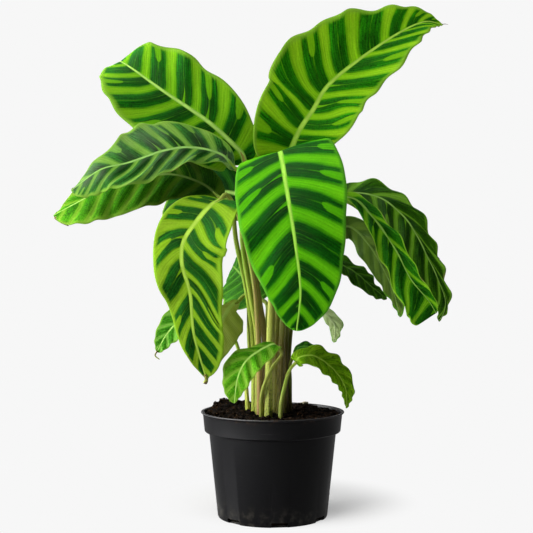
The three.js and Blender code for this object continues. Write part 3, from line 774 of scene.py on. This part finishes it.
# Where a light stripe starts at each whole number, for places along the rib.
def stripePhase(stripes, along):
    if isinstance(stripes, (int, float)):
        return along * stripes - blade["firstStripe"]
    marks = np.array(stripes)
    first = 2 * marks[0] - marks[1]
    last = 2 * marks[-1] - marks[-2]
    marks = np.concatenate([[first], marks, [last]])
    counts = np.arange(len(marks)) - 1.0
    before = (along - marks[0]) / (marks[1] - marks[0]) - 1
    after = counts[-1] + (along - marks[-1]) / (marks[-1] - marks[-2])
    inside = np.interp(along, marks, counts)
    return np.where(along < marks[0], before, np.where(along > marks[-1], after, inside))


# A blade is one waved sheet. Its Solidify modifier gives it the underside and the thicker rib.
def makeBlade(name, leaf):
    leaf["ribCurve"] = Curve(leaf["rib"])
    leaf["faceCurve"] = Curve(leaf["face"])
    size = blade["large" if leaf["ribCurve"].lengths[-1] > blade["largeFrom"] else "small"]
    look = {**commonLook, **leaf["look"]}
    bm = newSheet(size["rows"], size["columns"])
    flat = placesOf(bm)
    along = lerp(flat[:, 0], 0.5 - 0.5 * np.cos(np.pi * flat[:, 0]), blade["endCrowding"])
    turned = 2 * flat[:, 1] - 1
    across = np.where(np.abs(turned) < 1e-5, 0, np.sign(turned) * np.abs(turned) ** blade["crowding"])
    phases = [stripePhase(stripes, along) for stripes in look["stripes"]]
    phases[1] = phases[1] + blade["rightFrom"]
    points = []
    widths = []
    for side, phase, sweep in zip(leaf["halves"], phases, look["sweep"]):
        points.append(bladePoints(leaf, look, side, along, across, phase, sweep))
        widths.append(halfWidth(side, 1 - (1 - along) ** sweep))
    moveTo(bm, np.where((across < 0)[:, None], *points))
    ribWidth = lerp(*blade["ribHalfWidth"], along) * look["ribSize"]
    veins = bm.loops.layers.uv.new("veins")
    span = bm.loops.layers.uv.new("span")
    bm.verts.index_update()
    for face in bm.faces:
        side = 0 if sum(turned[v.index] for v in face.verts) < 0 else 1
        for loop in face.loops:
            i = loop.vert.index
            reach = abs(across[i])
            width = widths[side][i]
            loop[veins].uv = (phases[side][i], reach)
            loop[span].uv = (reach * width / ribWidth[i], (1 - reach) * width)
    bmesh.ops.reverse_faces(bm, faces=bm.faces)
    upper = bladeMaterial(name + "_upper", look, size["lines"])
    under = undersideMaterial(name + "_under", look)
    piece = addPiece(name + "_blade_leaf", bm, [upper, under], name + "_blade")
    fullest = blade["thickness"] + blade["ribDepth"]
    fromRib = np.abs(across) * np.minimum(*widths) / (blade["ribFlank"] * ribWidth)
    ribRound = np.clip(1 - fromRib, 0, 1) ** 0.5
    ribHere = blade["ribDepth"] * (1 - along) ** blade["ribTaper"] * ribRound
    group = piece.vertex_groups.new(name="body")
    for i, depth in enumerate((blade["thickness"] + ribHere) / fullest):
        group.add([i], float(depth), "REPLACE")
    solid = piece.modifiers.new("thickness", "SOLIDIFY")
    solid.thickness = fullest * mm
    solid.offset = -1
    solid.vertex_group = "body"
    solid.material_offset = 1
    solid.material_offset_rim = 0


# The upper side: light stripes along some of the side veins, tongues of light that run in from the margin
# between them, fine lines along all of the veins, and the rib. "phase" counts the stripes from the stalk,
# "reach" runs from the rib to the margin, and "cell" is the distance from the middle of a stripe.
def bladeMaterial(name, look, linesToStripe):
    shade = Shader(name)
    place = shade.place()
    phase, reach, _ = shade.mapped("veins")
    fromRib, fromMargin, _ = shade.mapped("span")

    drift = (shade.noise(place, 24) - 0.5) * look["drift"]
    comb = shade.streaks(phase * 9, reach * 2.5, 3) - 0.5
    fine = shade.streaks(phase * 26, reach * 2) - 0.5
    thread = shade.streaks(phase * 60, reach * 3) - 0.5
    bent = phase + drift
    cell = abs((bent + 0.5).math("FRACT") - 0.5)
    feathered = (comb * 0.9 + fine * 0.7) * look["feather"]
    flare = shade.rise(reach, 0.11, 0) * 0.07
    halfLight = flare + look["stripe"] + 0.05 * reach**4
    stripe = shade.rise(halfLight - cell + feathered, -look["soft"], look["soft"] * 0.7)

    band = phase.math("FLOOR")
    chance = shade.chance(band, 3)
    most = look["tongueMost"]
    start = chance * 0.3 + look["tongueStart"] + shade.rise(chance, most, most + 0.02)
    opening = shade.clamp((reach - start) / 0.09) ** 0.5 * (reach * 0.8 + 0.2) * look["tongue"]
    middle = abs(bent.math("FRACT") - 0.5)
    tongue = shade.rise(opening - middle + feathered, -0.02, 0.04)
    wedge = shade.clamp(1 - reach / (shade.rise(shade.chance(band, 7), 0.7, 1) * 0.5 + 0.02)) * 0.1
    tongue = tongue.math("MAXIMUM", shade.rise(wedge - middle + feathered * 0.4, 0.01, 0.04))
    tail = shade.rise(middle + comb * 0.02, 0.03, 0.012) * shade.rise(start - reach, 0.3, 0.02) * 0.4
    tongue = tongue.math("MAXIMUM", tail * shade.rise(chance, most, most - 0.02))
    border = shade.rise(reach + comb * 0.06 + fine * 0.03, look["border"] - 0.06, look["border"] + 0.05)
    light = stripe.math("MAXIMUM", tongue).math("MAXIMUM", border) * look["pattern"]

    outward = shade.rise(reach + drift * 0.8, 0.15, 0.95)
    beside = shade.rise(cell, 0.4, 0.2) * 0.5
    deep = shade.clamp(outward * 0.6 + shade.noise(place, 60) * 0.4 + beside - 0.2)
    streak = shade.rise(fine * 1.2 + comb * 0.6 + thread * 0.8, -0.35, 0.4)
    lines = (phase * fullTurn * linesToStripe).math("SINE")
    grain = shade.noise(place, 520, 2, 0.7) - 0.5
    dark = shade.mix(deep, look["dark"], look["deep"])
    dark = shade.brighten(dark, streak * 1.1 + lines * 0.22 + grain * 2.2 + 0.45)
    flank = shade.clamp((halfLight - cell) / look["stripe"])
    core = shade.rise(flank, 0.75, 1) * shade.rise(reach, 0.95, 0.7)
    patchy = shade.noise(place, 45, 3) * 0.4 + outward * 0.2 - 0.1
    bright = shade.rise(flank + comb * 0.5, 0, 0.9) * 0.6 + patchy
    pale = shade.mix(shade.clamp(bright - core * 0.3), look["light"], look["lime"])
    pale = shade.brighten(pale, 1 + fine * 0.7 + thread * 0.6 + lines * 0.08 + grain * 0.6)
    colour = shade.mix(light, dark, pale)
    hair = shade.rise(abs((phase * 5 + 0.5).math("FRACT") - 0.5), 0.09, 0.02) * shade.rise(reach, 0.6, 0.05)
    colour = shade.mix(hair * 0.12 * (1 - light), colour, look["hair"])
    rim = shade.rise(reach + comb * 0.04, look["border"] - 0.05, 0.98) * 0.7
    colour = shade.mix(rim, colour, look["margin"])
    # Painted sheen: grey clouds laid on where the blade would mirror the light.
    cloud = shade.rise(shade.noise(place, 19), 0.42, 0.7) * look["paintedSheen"]
    colour = shade.mix(cloud * (0.35 + streak * 0.65), colour, look["paintedSheenColour"])

    ribCore = shade.rise(fromRib + fine * 0.3, 0.8, 0.3)
    ribSide = tuple(lerp(a, b, 0.45) for a, b in zip(paint(look["light"]), paint(look["rib"])))
    ribColour = shade.brighten(shade.mix(ribCore, ribSide, look["rib"]), 1 + fine * 0.4)
    colour = shade.mix(shade.rise(fromRib, 1.15, 0.8) * look["ribShows"], colour, ribColour)
    burnt = shade.rise(shade.noise(place, 30), 0.6, 0.68) * 0.9 + 0.08
    edge = shade.rise(fromMargin + shade.noise(place, 90) * 0.5, 0.85, 0.45)
    colour = shade.mix(edge * burnt, colour, look["edge"])
    # Painted shade: the colour darkens towards the stalk, where the blades above cast shadow.
    fromStalk = (phase + 3).math("MODULO", blade["rightFrom"]) - 3  # the same count on both halves
    paintedShade = shade.rise(fromStalk, look["paintedShadeStripes"], 0.5) * look["paintedShade"]
    colour = shade.brighten(colour, 1 - paintedShade)

    relief = lines * 0.15 + comb * 0.5 + fine * 0.5 + thread * 0.3 - core * 0.4
    relief = relief + ribCore * 0.9 - shade.rise(fromRib, 2.2, 1.1) * 0.5
    relief = relief + shade.noise(place, 900) * 0.15
    roughness = shade.noise(place, 240) * 0.12 + look["gloss"] + light * 0.05 + streak * 0.05
    return shade.finish(
        colour, roughness, shade.bump(relief, 0.0006, 0.55), look["shine"],
        throughColour=look["light"], through=light * 0.16 + 0.04,
    )


# The underside: olive, with the pattern of the upper side showing faintly, and the raised rib.
def undersideMaterial(name, look):
    shade = Shader(name)
    place = shade.place()
    phase, reach, _ = shade.mapped("veins")
    fromRib, fromMargin, _ = shade.mapped("span")
    comb = shade.streaks(phase * 26, reach * 2.5, 3) - 0.5
    fine = shade.streaks(phase * 70, reach * 3) - 0.5
    cell = abs((phase + 0.5 + comb * 0.06).math("FRACT") - 0.5)
    stripe = shade.rise(cell, 0.36, 0.16) * 0.55
    tone = shade.clamp(stripe + shade.noise(place, 40, 3) * 0.6 + comb * 0.5 - 0.05)
    colour = shade.brighten(shade.mix(tone, look["underDark"], look["under"]), 1 + fine * 0.55)
    colour = shade.mix(shade.rise(fromRib, 1.3, 0.8) * 0.85 * look["ribShows"], colour, look["rib"])
    colour = shade.mix(shade.rise(fromMargin, 1.1, 0.4) * 0.6, colour, look["light"])
    lines = (phase * fullTurn * blade["small"]["lines"]).math("SINE")
    normal = shade.bump(lines * 0.25 + comb * 0.6 + fine * 0.6, 0.0006, 0.6)
    roughness = shade.noise(place, 200) * 0.15 + 0.5
    return shade.finish(
        colour, roughness, normal, 0.15, throughColour=look["under"], through=stripe * 0.1 + 0.1,
    )


soil = {
    "height": 120.5,
    "mounds": [(-54, 47, 11, 30), (38, 66, 4, 18)],  # the place of each top, its height and its spread
    "lumps": (1.5, 0.7, 0.35),  # the heights of its large, small and tiny lumps
    "edgeRadius": 80.4,
    "side": [(80.2, 119), (78.5, 104.5), (73.2, 102), (62.6, 5), (60, 2.6), (0, 2.6)],
    "rings": 46,
    "steps": 150,
    "seed": 7,
    "brightness": 0.6,
    "crumbs": 1100,
    "crumbSize": (0.9, 3.6),
    "crumbReach": 78,
    "crumbBrightness": 0.95,
    "fibres": 70,
    "fibreRadius": (0.35, 0.15),
    "fibreLength": (4, 11),
    "fibreReach": 74,
    "wet": "#040302",
    "brown": "#1b120a",
    "straw": "#4c351e",
    # near-black flecks of painted shade for the gaps between crumbs
    "paintedHollowShade": "#050302",
}

stem = {
    "plantingDepth": 25,
    "rise": 4,
    "collarLength": 14,
    "collarSwell": 0.15,
    "taper": 0.8,
    "rings": 72,
    "sides": 18,
    "sheathEnd": 0.62,
    "sheathFade": 0.08,
    "seamDepth": 0.16,
    "seamWidth": 0.16,
    "seamLip": 0.07,
    "flatness": 0.08,
    "ridges": 9,
    "ridgeHeight": 0.012,
    "endRadius": 0.5,
    "under": [(0.015, 1.6), (0.04, 1.5), (0.08, 1.1)],  # shares of the rib, and how far below it
}

commonStem = {
    "low": "#a8b446",
    "high": "#98c03a",
    "shade": "#6a7020",
    "fibre": "#b5a566",
    "vein": "#4c5a12",
    "line": "#3c2c16",
    "dry": "#a5825c",
    "speck": "#2c2414",
    "foot": "#3a2a1a",
    "dryShare": 0.1,
    "specks": 0.4,
}


# A stalk: a sheath with an open seam below, a round neck above, a swollen collar, and a last stretch that
# thins out under the blade's rib.
def makeStalk(name, leaf):
    stalk = leaf["stalk"]
    rib = leaf["ribCurve"]
    start = rib.point(0.0)
    x, y = stalk["from"]
    neck = start - rib.heading(0.0) * stem["collarLength"]
    under = [rib.point(share) - facing(leaf, share)[1] * depth for share, depth in stem["under"]]
    foot = [x, y, soil["height"] - stem["plantingDepth"]]
    risen = [x, y, soil["height"] + stem["rise"]]
    way = [foot, risen, *stalk["way"], neck, start]
    route = Curve([*way, *under])
    length = route.lengths[-1]
    plain = Curve(way).lengths[-1]
    seamAt = fullTurn * (0.3 + 0.4 * (abs(x * 7 + y * 3) % 10) / 10)

    def radiusAt(along, angle):
        share = np.minimum(along * length / plain, 1)
        collar = np.maximum(0, 1 - (1 - share) * plain / stem["collarLength"])
        radius = lerp(*stalk["radius"], share ** stem["taper"]) * (1 + stem["collarSwell"] * collar)
        past = np.clip((along * length - plain) / (length - plain), 0, 1)
        radius = radius * (1 - past) ** 0.5 + stem["endRadius"] * past
        sheathed = np.clip((stem["sheathEnd"] - share) / stem["sheathFade"], 0, 1)
        seam = (angle - seamAt) / stem["seamWidth"]
        groove = stem["seamDepth"] * np.exp(-seam**2) - stem["seamLip"] * np.exp(-((seam - 2) ** 2))
        flatness = stem["flatness"] * np.cos(2 * angle + x)
        ridges = stem["ridgeHeight"] * np.cos(stem["ridges"] * angle)
        return radius * (1 + sheathed * (flatness - groove) + ridges)

    bm = rollTube(route, stem["rings"], stem["sides"], radiusAt)
    material = stalkMaterial(name + "_stem", {**commonStem, **leaf.get("stem", {})})
    addPiece(name + "_stalk_round", bm, [material], name + "_stalk")


# Lengthwise streaks, a dull sheath below and a fresh neck above, dry patches and dark specks low down.
def stalkMaterial(name, look):
    shade = Shader(name)
    along, around, _ = shade.mapped("sheet")
    broad = shade.streaks(along * 1.5, around * 6, 2, 0.5)
    streak = shade.streaks(along * 3, around * 18, 3)
    thread = shade.streaks(along * 2, around * 50)
    patch = shade.noise(shade.place(), 38, 3)
    fresh = shade.rise(along + (patch - 0.5) * 0.3, 0.25, 0.75)
    colour = shade.mix(fresh, look["low"], look["high"])
    colour = shade.mix(shade.rise(broad, 0.42, 0.6) * 0.65, colour, look["shade"])
    colour = shade.mix(shade.rise(streak, 0.52, 0.66) * 0.45, colour, look["fibre"])
    colour = shade.mix(shade.rise(streak + thread * 0.3, 0.6, 0.5) * 0.3, colour, look["vein"])
    dryPlace = shade.streaks(along * 5, around * 9, 3) - along * 0.25
    dry = shade.rise(dryPlace, 0.72 - look["dryShare"], 0.78 - look["dryShare"])
    colour = shade.mix(dry * 0.85, colour, look["dry"])
    colour = shade.mix(shade.rise(thread, 0.58, 0.68) * 0.55, colour, look["line"])
    speck = shade.rise(shade.streaks(along * 150, around * 16, 1, 0.5), 0.56, 0.64)
    colour = shade.mix(speck * shade.rise(along, 0.5, 0.1) * look["specks"], colour, look["speck"])
    colour = shade.mix(shade.rise(along, 0.1, 0.05) * 0.5, colour, look["foot"])
    colour = shade.brighten(colour, thread * 0.9 + 0.55)
    normal = shade.bump(streak * 0.8 + thread * 0.6 - dry * 0.4, 0.0007, 0.8)
    roughness = 0.42 + patch * 0.12 + dry * 0.25
    inside = {"Subsurface Weight": 0.06, "Subsurface Scale": 0.002}
    return shade.finish(colour, roughness, normal, 0.12, inside)


# Dry ends of some blades: the points of each, its radius at both ends, and how thin it is.
tips = {
    "upper_right": {
        "way": [[210, 59, 596.8], [215, 61, 597.6], [219, 62, 597.2]],
        "radius": (0.7, 0.25), "thin": 0.8, "rings": 8, "sides": 8,
    },
    "front_left": {
        "way": [[-75, -92, 177], [-73.5, -92, 171], [-75.5, -93, 166.5]],
        "radius": (1.6, 2.5), "thin": 0.8, "rings": 8, "sides": 10,
    },
    "left_lower": {
        "way": [[-250, -38.5, 353.5], [-244, -41, 348], [-234.5, -43, 342.5]],
        "radius": (3, 0.6), "thin": 0.4, "rings": 8, "sides": 10,
    },
    "low_left_small": {
        "way": [[-138, 15.5, 195], [-141, 14, 189], [-135.5, 13, 184.5]],
        "radius": (1, 0.6), "thin": 0.7, "rings": 10, "sides": 8,
    },
}

tipColours = ("#6f7a26", "#4c3d18")


# A small rolled shred that narrows at its very end.
def makeTip(name, tip):
    def radiusAt(along, angle):
        return lerp(*tip["radius"], along) * np.where(along > 0.95, 0.6, 1)

    bm = rollTube(Curve(tip["way"]), tip["rings"], tip["sides"], radiusAt, tip["thin"])
    shade = Shader(name + "_tip")
    patch = shade.noise(shade.place(), 160, 3)
    colour = shade.mix(shade.rise(patch, 0.4, 0.6), *tipColours)
    material = shade.finish(colour, 0.6, shade.bump(patch, 0.0006, 0.7), 0.2)
    addPiece(name + "_blade_tip", bm, [material])


pot = {
    "profile": [
        (0, 0), (61, 0), (62.5, 0.25), (64.2, 0.9), (65, 2.5), (75.1, 98.6), (75.6, 100.2), (76.8, 100.9),
        (79.6, 101.2), (80.6, 102.2), (82.5, 120.6), (83, 122.3), (84.4, 123), (85, 123.8), (84.6, 124.5),
        (83.6, 124.7), (81.6, 124.3), (81.0, 123), (79, 103.6), (73.8, 102), (63.4, 4.7), (60.9, 2.2),
        (0, 2.2),
    ],
    "steps": 168,
    "notches": 7,
    "firstNotch": 7,  # degrees from the front
    "notchWidth": 19,
    "notchHeight": 6,
    "notchDepth": 5,
    "baseRadius": 65,
    "sharpFrom": 35,  # degrees that an edge turns
    "black": "#030304",
    "worn": "#070708",
    "scuff": "#4a4a4c",
    "dust": "#5a564e",
    # A painted highlight along the lip, where its top would catch the light, and the heights where it fades
    # in.
    "paintedLipHighlight": "#39393b",
    "smear": "#3a2c20",
    "dustFades": (0.03, 0),  # metres up, as the next three
    "paintedLipHighlightFades": (0.1236, 0.1243),
    "smearFades": (0.116, 0.124),
    "ringEvery": 0.0021,
}


# A shell spun from its profile, with drain notches cut in the bottom edge.
def makePot():
    bm = spinOutline(pot["profile"], pot["steps"])
    piece = addPiece("pot_shell", bm, [potMaterial()], "pot")
    cutter = bmesh.new()
    size = (pot["notchWidth"] * mm, 2 * pot["notchDepth"] * mm, 2 * pot["notchHeight"] * mm)
    for i in range(pot["notches"]):
        made = bmesh.ops.create_cube(cutter, size=1)["verts"]
        bmesh.ops.scale(cutter, verts=made, vec=size)
        turn = math.radians(pot["firstNotch"]) + fullTurn * i / pot["notches"]
        place = Matrix.Rotation(turn, 4, "Z") @ Matrix.Translation((0, -pot["baseRadius"] * mm, 0))
        bmesh.ops.transform(cutter, matrix=place, verts=made)
    notches = addObject("notches", meshFrom(cutter, "notches"))
    cut = piece.modifiers.new("notches", "BOOLEAN")
    cut.operation = "DIFFERENCE"
    cut.object = notches
    applyModifiers(piece)
    bpy.data.objects.remove(notches)
    roundEdges(piece, pot["sharpFrom"])


# Marks the edges that turn more than an angle in degrees as sharp, so that the rest look round.
def roundEdges(piece, angle):
    bm = bmesh.new()
    bm.from_mesh(piece.data)
    for edge in bm.edges:
        edge.smooth = edge.calc_face_angle(0) < math.radians(angle)
    bm.to_mesh(piece.data)
    bm.free()


# Puts what the modifiers make into the piece's own mesh.
def applyModifiers(piece):
    view = bpy.context.evaluated_depsgraph_get()
    made = bpy.data.meshes.new_from_object(piece.evaluated_get(view))
    old = piece.data
    piece.modifiers.clear()
    piece.data = made
    bpy.data.meshes.remove(old)


# Satin black plastic with a fine moulded grain, faint scuffs, a little dust at the foot, a painted
# highlight along the lip and smears of soil below it.
def potMaterial():
    shade = Shader("pot_plastic_satin")
    place = shade.place()
    _, _, height = shade.split(place)
    cloud = shade.noise(place, 14, 3)
    grain = shade.noise(place, 1500)
    scuff = shade.rise(shade.noise(shade.stretched(place, (30, 30, 420)), 1, 4, 0.65), 0.62, 0.78)
    colour = shade.mix(cloud, pot["black"], pot["worn"])
    colour = shade.mix(scuff * 0.2, colour, pot["scuff"])
    dust = shade.rise(height, *pot["dustFades"]) * shade.rise(shade.noise(place, 120, 4), 0.45, 0.75)
    colour = shade.mix(dust * 0.3, colour, pot["dust"])
    # Painted highlight along the lip.
    colour = shade.mix(shade.rise(height, *pot["paintedLipHighlightFades"]) * 0.7, colour, pot["paintedLipHighlight"])
    smear = shade.rise(height, *pot["smearFades"]) * shade.rise(shade.noise(place, 160, 3), 0.55, 0.7)
    colour = shade.mix(smear * 0.45, colour, pot["smear"])
    ring = (height * (fullTurn / pot["ringEvery"])).math("SINE")
    normal = shade.bump(grain * 0.35 + cloud * 0.6 + ring * 0.04, 0.0004, 0.35)
    return shade.finish(colour, 0.37 + cloud * 0.06 + scuff * 0.1, normal, 0.14)


# The height of the soil, with its mounds and lumps, in millimetres.
def soilTop(x, y):
    lumps = np.sin(x * 0.31 + 1) * np.cos(y * 0.27) + 0.6 * np.sin(x * 0.13 - y * 0.71)
    small = np.sin(x * 1.1 + 2 * np.sin(y * 0.6)) * np.sin(y * 0.93 + 1.5 * np.sin(x * 0.5))
    tiny = np.sin(x * 2.7 + 2 * np.sin(y * 1.9)) * np.sin(y * 2.3 + 2 * np.sin(x * 1.7))
    large, middle, least = soil["lumps"]
    total = soil["height"] + large * lumps + middle * small + least * tiny
    for moundX, moundY, height, spread in soil["mounds"]:
        total = total + height * np.exp(-((x - moundX) ** 2 + (y - moundY) ** 2) / spread**2)
    return total


def makeSoil():
    flat = soil["height"]
    top = [(soil["edgeRadius"] * i / soil["rings"], flat) for i in range(soil["rings"] + 1)]
    bm = spinOutline(top + soil["side"], soil["steps"])
    for vert in bm.verts:
        if vert.co.z > (flat - 0.1) * mm:
            vert.co.z = soilTop(vert.co.x / mm, vert.co.y / mm) * mm
    addPiece("soil_body", bm, [soilMaterial("soil_dark", soil["brightness"])], "soil")


# An even chance of any place on the soil out to a radius.
def anyPlace(chance, reach):
    angle = chance.uniform(0, fullTurn)
    radius = reach * math.sqrt(chance.uniform(0, 1))
    return radius * math.cos(angle), radius * math.sin(angle)


# Crumbs and bits of fibre that lie loose on the soil.
def makeCrumbs():
    chance = np.random.default_rng(soil["seed"])
    bm = bmesh.new()
    for i in range(soil["crumbs"]):
        x, y = anyPlace(chance, soil["crumbReach"])
        size = chance.uniform(*soil["crumbSize"]) * chance.uniform(0.5, 1)
        made = bmesh.ops.create_icosphere(bm, subdivisions=1, radius=size * mm)["verts"]
        for vert in made:
            vert.co *= chance.uniform(0.7, 1.25)
        stretch = (chance.uniform(0.7, 1.6), chance.uniform(0.6, 1.1), chance.uniform(0.5, 0.9))
        bmesh.ops.scale(bm, verts=made, vec=stretch)
        turn = Matrix.Rotation(chance.uniform(0, fullTurn), 4, "Z")
        place = Matrix.Translation((x * mm, y * mm, (soilTop(x, y) + size * 0.25) * mm)) @ turn
        bmesh.ops.transform(bm, matrix=place, verts=made)
    thick, thin = soil["fibreRadius"]
    for i in range(soil["fibres"]):
        x, y = anyPlace(chance, soil["fibreReach"])
        made = bmesh.ops.create_cone(
            bm, cap_ends=True, segments=5, radius1=thick * mm, radius2=thin * mm,
            depth=chance.uniform(*soil["fibreLength"]) * mm,
        )["verts"]
        lean = Matrix.Rotation(math.pi / 2 + chance.uniform(-0.25, 0.25), 4, "X")
        turn = Matrix.Rotation(chance.uniform(0, fullTurn), 4, "Z")
        place = Matrix.Translation((x * mm, y * mm, (soilTop(x, y) + 0.8) * mm)) @ turn @ lean
        bmesh.ops.transform(bm, matrix=place, verts=made)
    material = soilMaterial("soil_loose", soil["crumbBrightness"])
    addPiece("soil_crumbs", bm, [material], smooth=False)


def soilMaterial(name, brightness):
    shade = Shader(name)
    place = shade.place()
    lump = shade.noise(place, 130, 4, 0.6)
    fleck = shade.noise(place, 420)
    grit = shade.noise(place, 900, 3, 0.7)
    colour = shade.mix(shade.rise(lump, 0.4, 0.65), soil["wet"], soil["brown"])
    colour = shade.mix(shade.rise(fleck, 0.6, 0.68) * 0.6, colour, soil["straw"])
    # Painted shade: near-black flecks stand for the shaded gaps between crumbs.
    colour = shade.mix(shade.rise(fleck, 0.36, 0.28) * 0.8, colour, soil["paintedHollowShade"])
    colour = shade.brighten(colour, (grit * 0.6 + 0.6) * brightness)
    normal = shade.bump(lump * 0.8 + grit * 0.6, 0.002, 0.9)
    return shade.finish(colour, 0.75 + grit * 0.2, normal, 0.03)


bark = {
    "place": (39, 63),
    "lift": 2.1,
    "thickness": 1.2,
    "outline": [(-6, -1.5), (-2, -3), (4, -2), (6.5, 0.5), (3, 2.5), (-3, 2)],
    "turn": (0.2, -0.1, 0.3),
    "warp": (0.35, 0.14),  # the heights of its long and its short waves
    "cuts": 5,
    "dull": "#8f8368",
    "pale": "#d6cdb2",
    "stain": "#5a4630",
}


# The pale scrap: a split, fibrous chip with worn edges.
def makeBark():
    bm = bmesh.new()
    face = bm.faces.new([bm.verts.new((x * mm, y * mm, 0)) for x, y in bark["outline"]])
    made = bmesh.ops.extrude_face_region(bm, geom=[face])["geom"]
    raised = [v for v in made if isinstance(v, bmesh.types.BMVert)]
    bmesh.ops.translate(bm, verts=raised, vec=(0, 0, bark["thickness"] * mm))
    bmesh.ops.recalc_face_normals(bm, faces=bm.faces)
    bmesh.ops.triangulate(bm, faces=bm.faces)
    bmesh.ops.subdivide_edges(bm, edges=bm.edges, cuts=bark["cuts"], use_grid_fill=True, smooth=0.3)
    long, short = bark["warp"]
    for vert in bm.verts:
        x = vert.co.x / mm
        y = vert.co.y / mm
        vert.co.z += (long * math.sin(x * 0.9) + short * math.sin(y * 5 + x)) * mm
    turnX, turnY, turnZ = bark["turn"]
    turn = Matrix.Rotation(turnZ, 4, "Z") @ Matrix.Rotation(turnY, 4, "Y") @ Matrix.Rotation(turnX, 4, "X")
    x, y = bark["place"]
    place = Matrix.Translation((x * mm, y * mm, (soilTop(x, y) + bark["lift"]) * mm))
    bmesh.ops.transform(bm, matrix=place @ turn, verts=bm.verts)
    shade = Shader("bark_pale")
    grown = shade.place()
    fibre = shade.noise(shade.stretched(grown, (300, 1600, 900)), 1, 4, 0.6)
    stain = shade.rise(shade.noise(grown, 330), 0.58, 0.7) * 0.7
    colour = shade.mix(stain, shade.mix(fibre, bark["dull"], bark["pale"]), bark["stain"])
    material = shade.finish(colour, 0.75 + fibre * 0.15, shade.bump(fibre, 0.0008, 0.8), 0.5)
    addPiece("bark_chip", bm, [material], "bark_scrap")


for leafName, leaf in leaves.items():
    makeBlade(leafName, leaf)
print("blades made:", len(leaves))
for leafName, leaf in leaves.items():
    makeStalk(leafName, leaf)
print("stalks made:", len(leaves))
for leafName, tip in tips.items():
    makeTip(leafName, tip)
print("dry tips made:", len(tips))
makePot()
makeSoil()
makeCrumbs()
makeBark()
print("pot, soil and bark made")


studio = {
    "floorSize": 14,
    "floorFade": (0.06, 0.17),
    "floorGrey": (0.74, 0.74, 0.74, 1),
    "shadowAt": (-0.02, -0.09, 0),
    "shadowLift": 0.27,
    "white": 0.93,
    "mirrored": 0.3,
    "softBox": 25,
    "surround": 0.32,
    "aim": (0, 0, 0.3),
    "lights": {
        "key": {"at": (-1.1, -1.5, 1.9), "size": 1.3, "power": 40, "colour": "#fffdf8"},
        "top": {"at": (-0.1, 0.3, 2.3), "size": 1.6, "power": 27, "colour": "#ffffff"},
        "side": {"at": (-1.5, -0.35, 0.35), "size": 0.8, "power": 30, "colour": "#ffffff"},
    },
    "camera": {"at": (-0.0072, -1.3, 0.296), "lens": 73.9},
}


# The floor takes soft shadows near the pot and turns into the plain pale backdrop further out. It is
# dimmer where the pot mirrors it.
def makeFloor():
    bm = bmesh.new()
    bmesh.ops.create_grid(bm, x_segments=1, y_segments=1, size=studio["floorSize"] / 2)
    floor = addObject("floor", meshFrom(bm, "floor"))
    shade = Shader("floor_pale")
    around = shade.add("ShaderNodeMapping", None, {"Vector": shade.place(), "Location": studio["shadowAt"]})
    distance = shade.add("ShaderNodeVectorMath", {"operation": "LENGTH"}, [around], 1)
    lift = studio["shadowLift"]
    far = shade.rise(distance, *studio["floorFade"]) * (1 - lift) + lift
    matte = shade.add("ShaderNodeBsdfDiffuse", None, {"Color": studio["floorGrey"]})
    strength = studio["white"] + shade.ray("Glossy") * (studio["mirrored"] - studio["white"])
    glow = shade.add("ShaderNodeEmission", None, {"Color": "#ffffff", "Strength": strength})
    surface = shade.add("ShaderNodeMixShader", None, [far, matte, glow])
    shade.add("ShaderNodeOutputMaterial", None, {"Surface": surface})
    floor.data.materials.append(shade.owner)


def makeLight(name, light):
    data = bpy.data.lights.new(name, "AREA")
    data.shape = "DISK"
    data.size = light["size"]
    data.energy = light["power"]
    data.color = paint(light["colour"])[:3]
    lamp = addObject(name, data)
    lamp.location = light["at"]
    aim = Vector(studio["aim"]) - Vector(light["at"])
    lamp.rotation_euler = aim.to_track_quat("-Z", "Y").to_euler()
    lamp.visible_camera = False


# Seen directly the surroundings are the pale backdrop. As light they are dimmer, and dark in front, and
# glossy things also mirror a soft box on the left.
def makeSurroundings():
    world = bpy.data.worlds.new("studio")
    bpy.context.scene.world = world
    shade = Shader("studio", world)
    direct = shade.ray("Camera")
    x, y, _ = shade.split(shade.place("Generated"))
    side = shade.rise(y, -0.75, 0.35)
    left = shade.rise(x, 0.7, -0.4)
    box = shade.rise(x, -0.2, -0.6) * shade.rise(y, 0.7, -0.3) * studio["softBox"]
    strength = (side * 0.85 + 0.15) * (left * 0.75 + 0.25) * studio["surround"] + shade.ray("Glossy") * box
    glow = direct * studio["white"] + (1 - direct) * strength
    back = shade.add("ShaderNodeBackground", None, {"Color": "#ffffff", "Strength": glow})
    shade.add("ShaderNodeOutputWorld", None, {"Surface": back})


makeFloor()
for lightName, light in studio["lights"].items():
    makeLight(lightName, light)
makeSurroundings()

camera = addObject("camera", bpy.data.cameras.new("camera"))
camera.data.lens = studio["camera"]["lens"]
camera.location = studio["camera"]["at"]
camera.rotation_euler = (math.radians(90), 0, 0)
bpy.context.scene.camera = camera
bpy.context.scene.view_settings.view_transform = "Standard"
print("studio made")
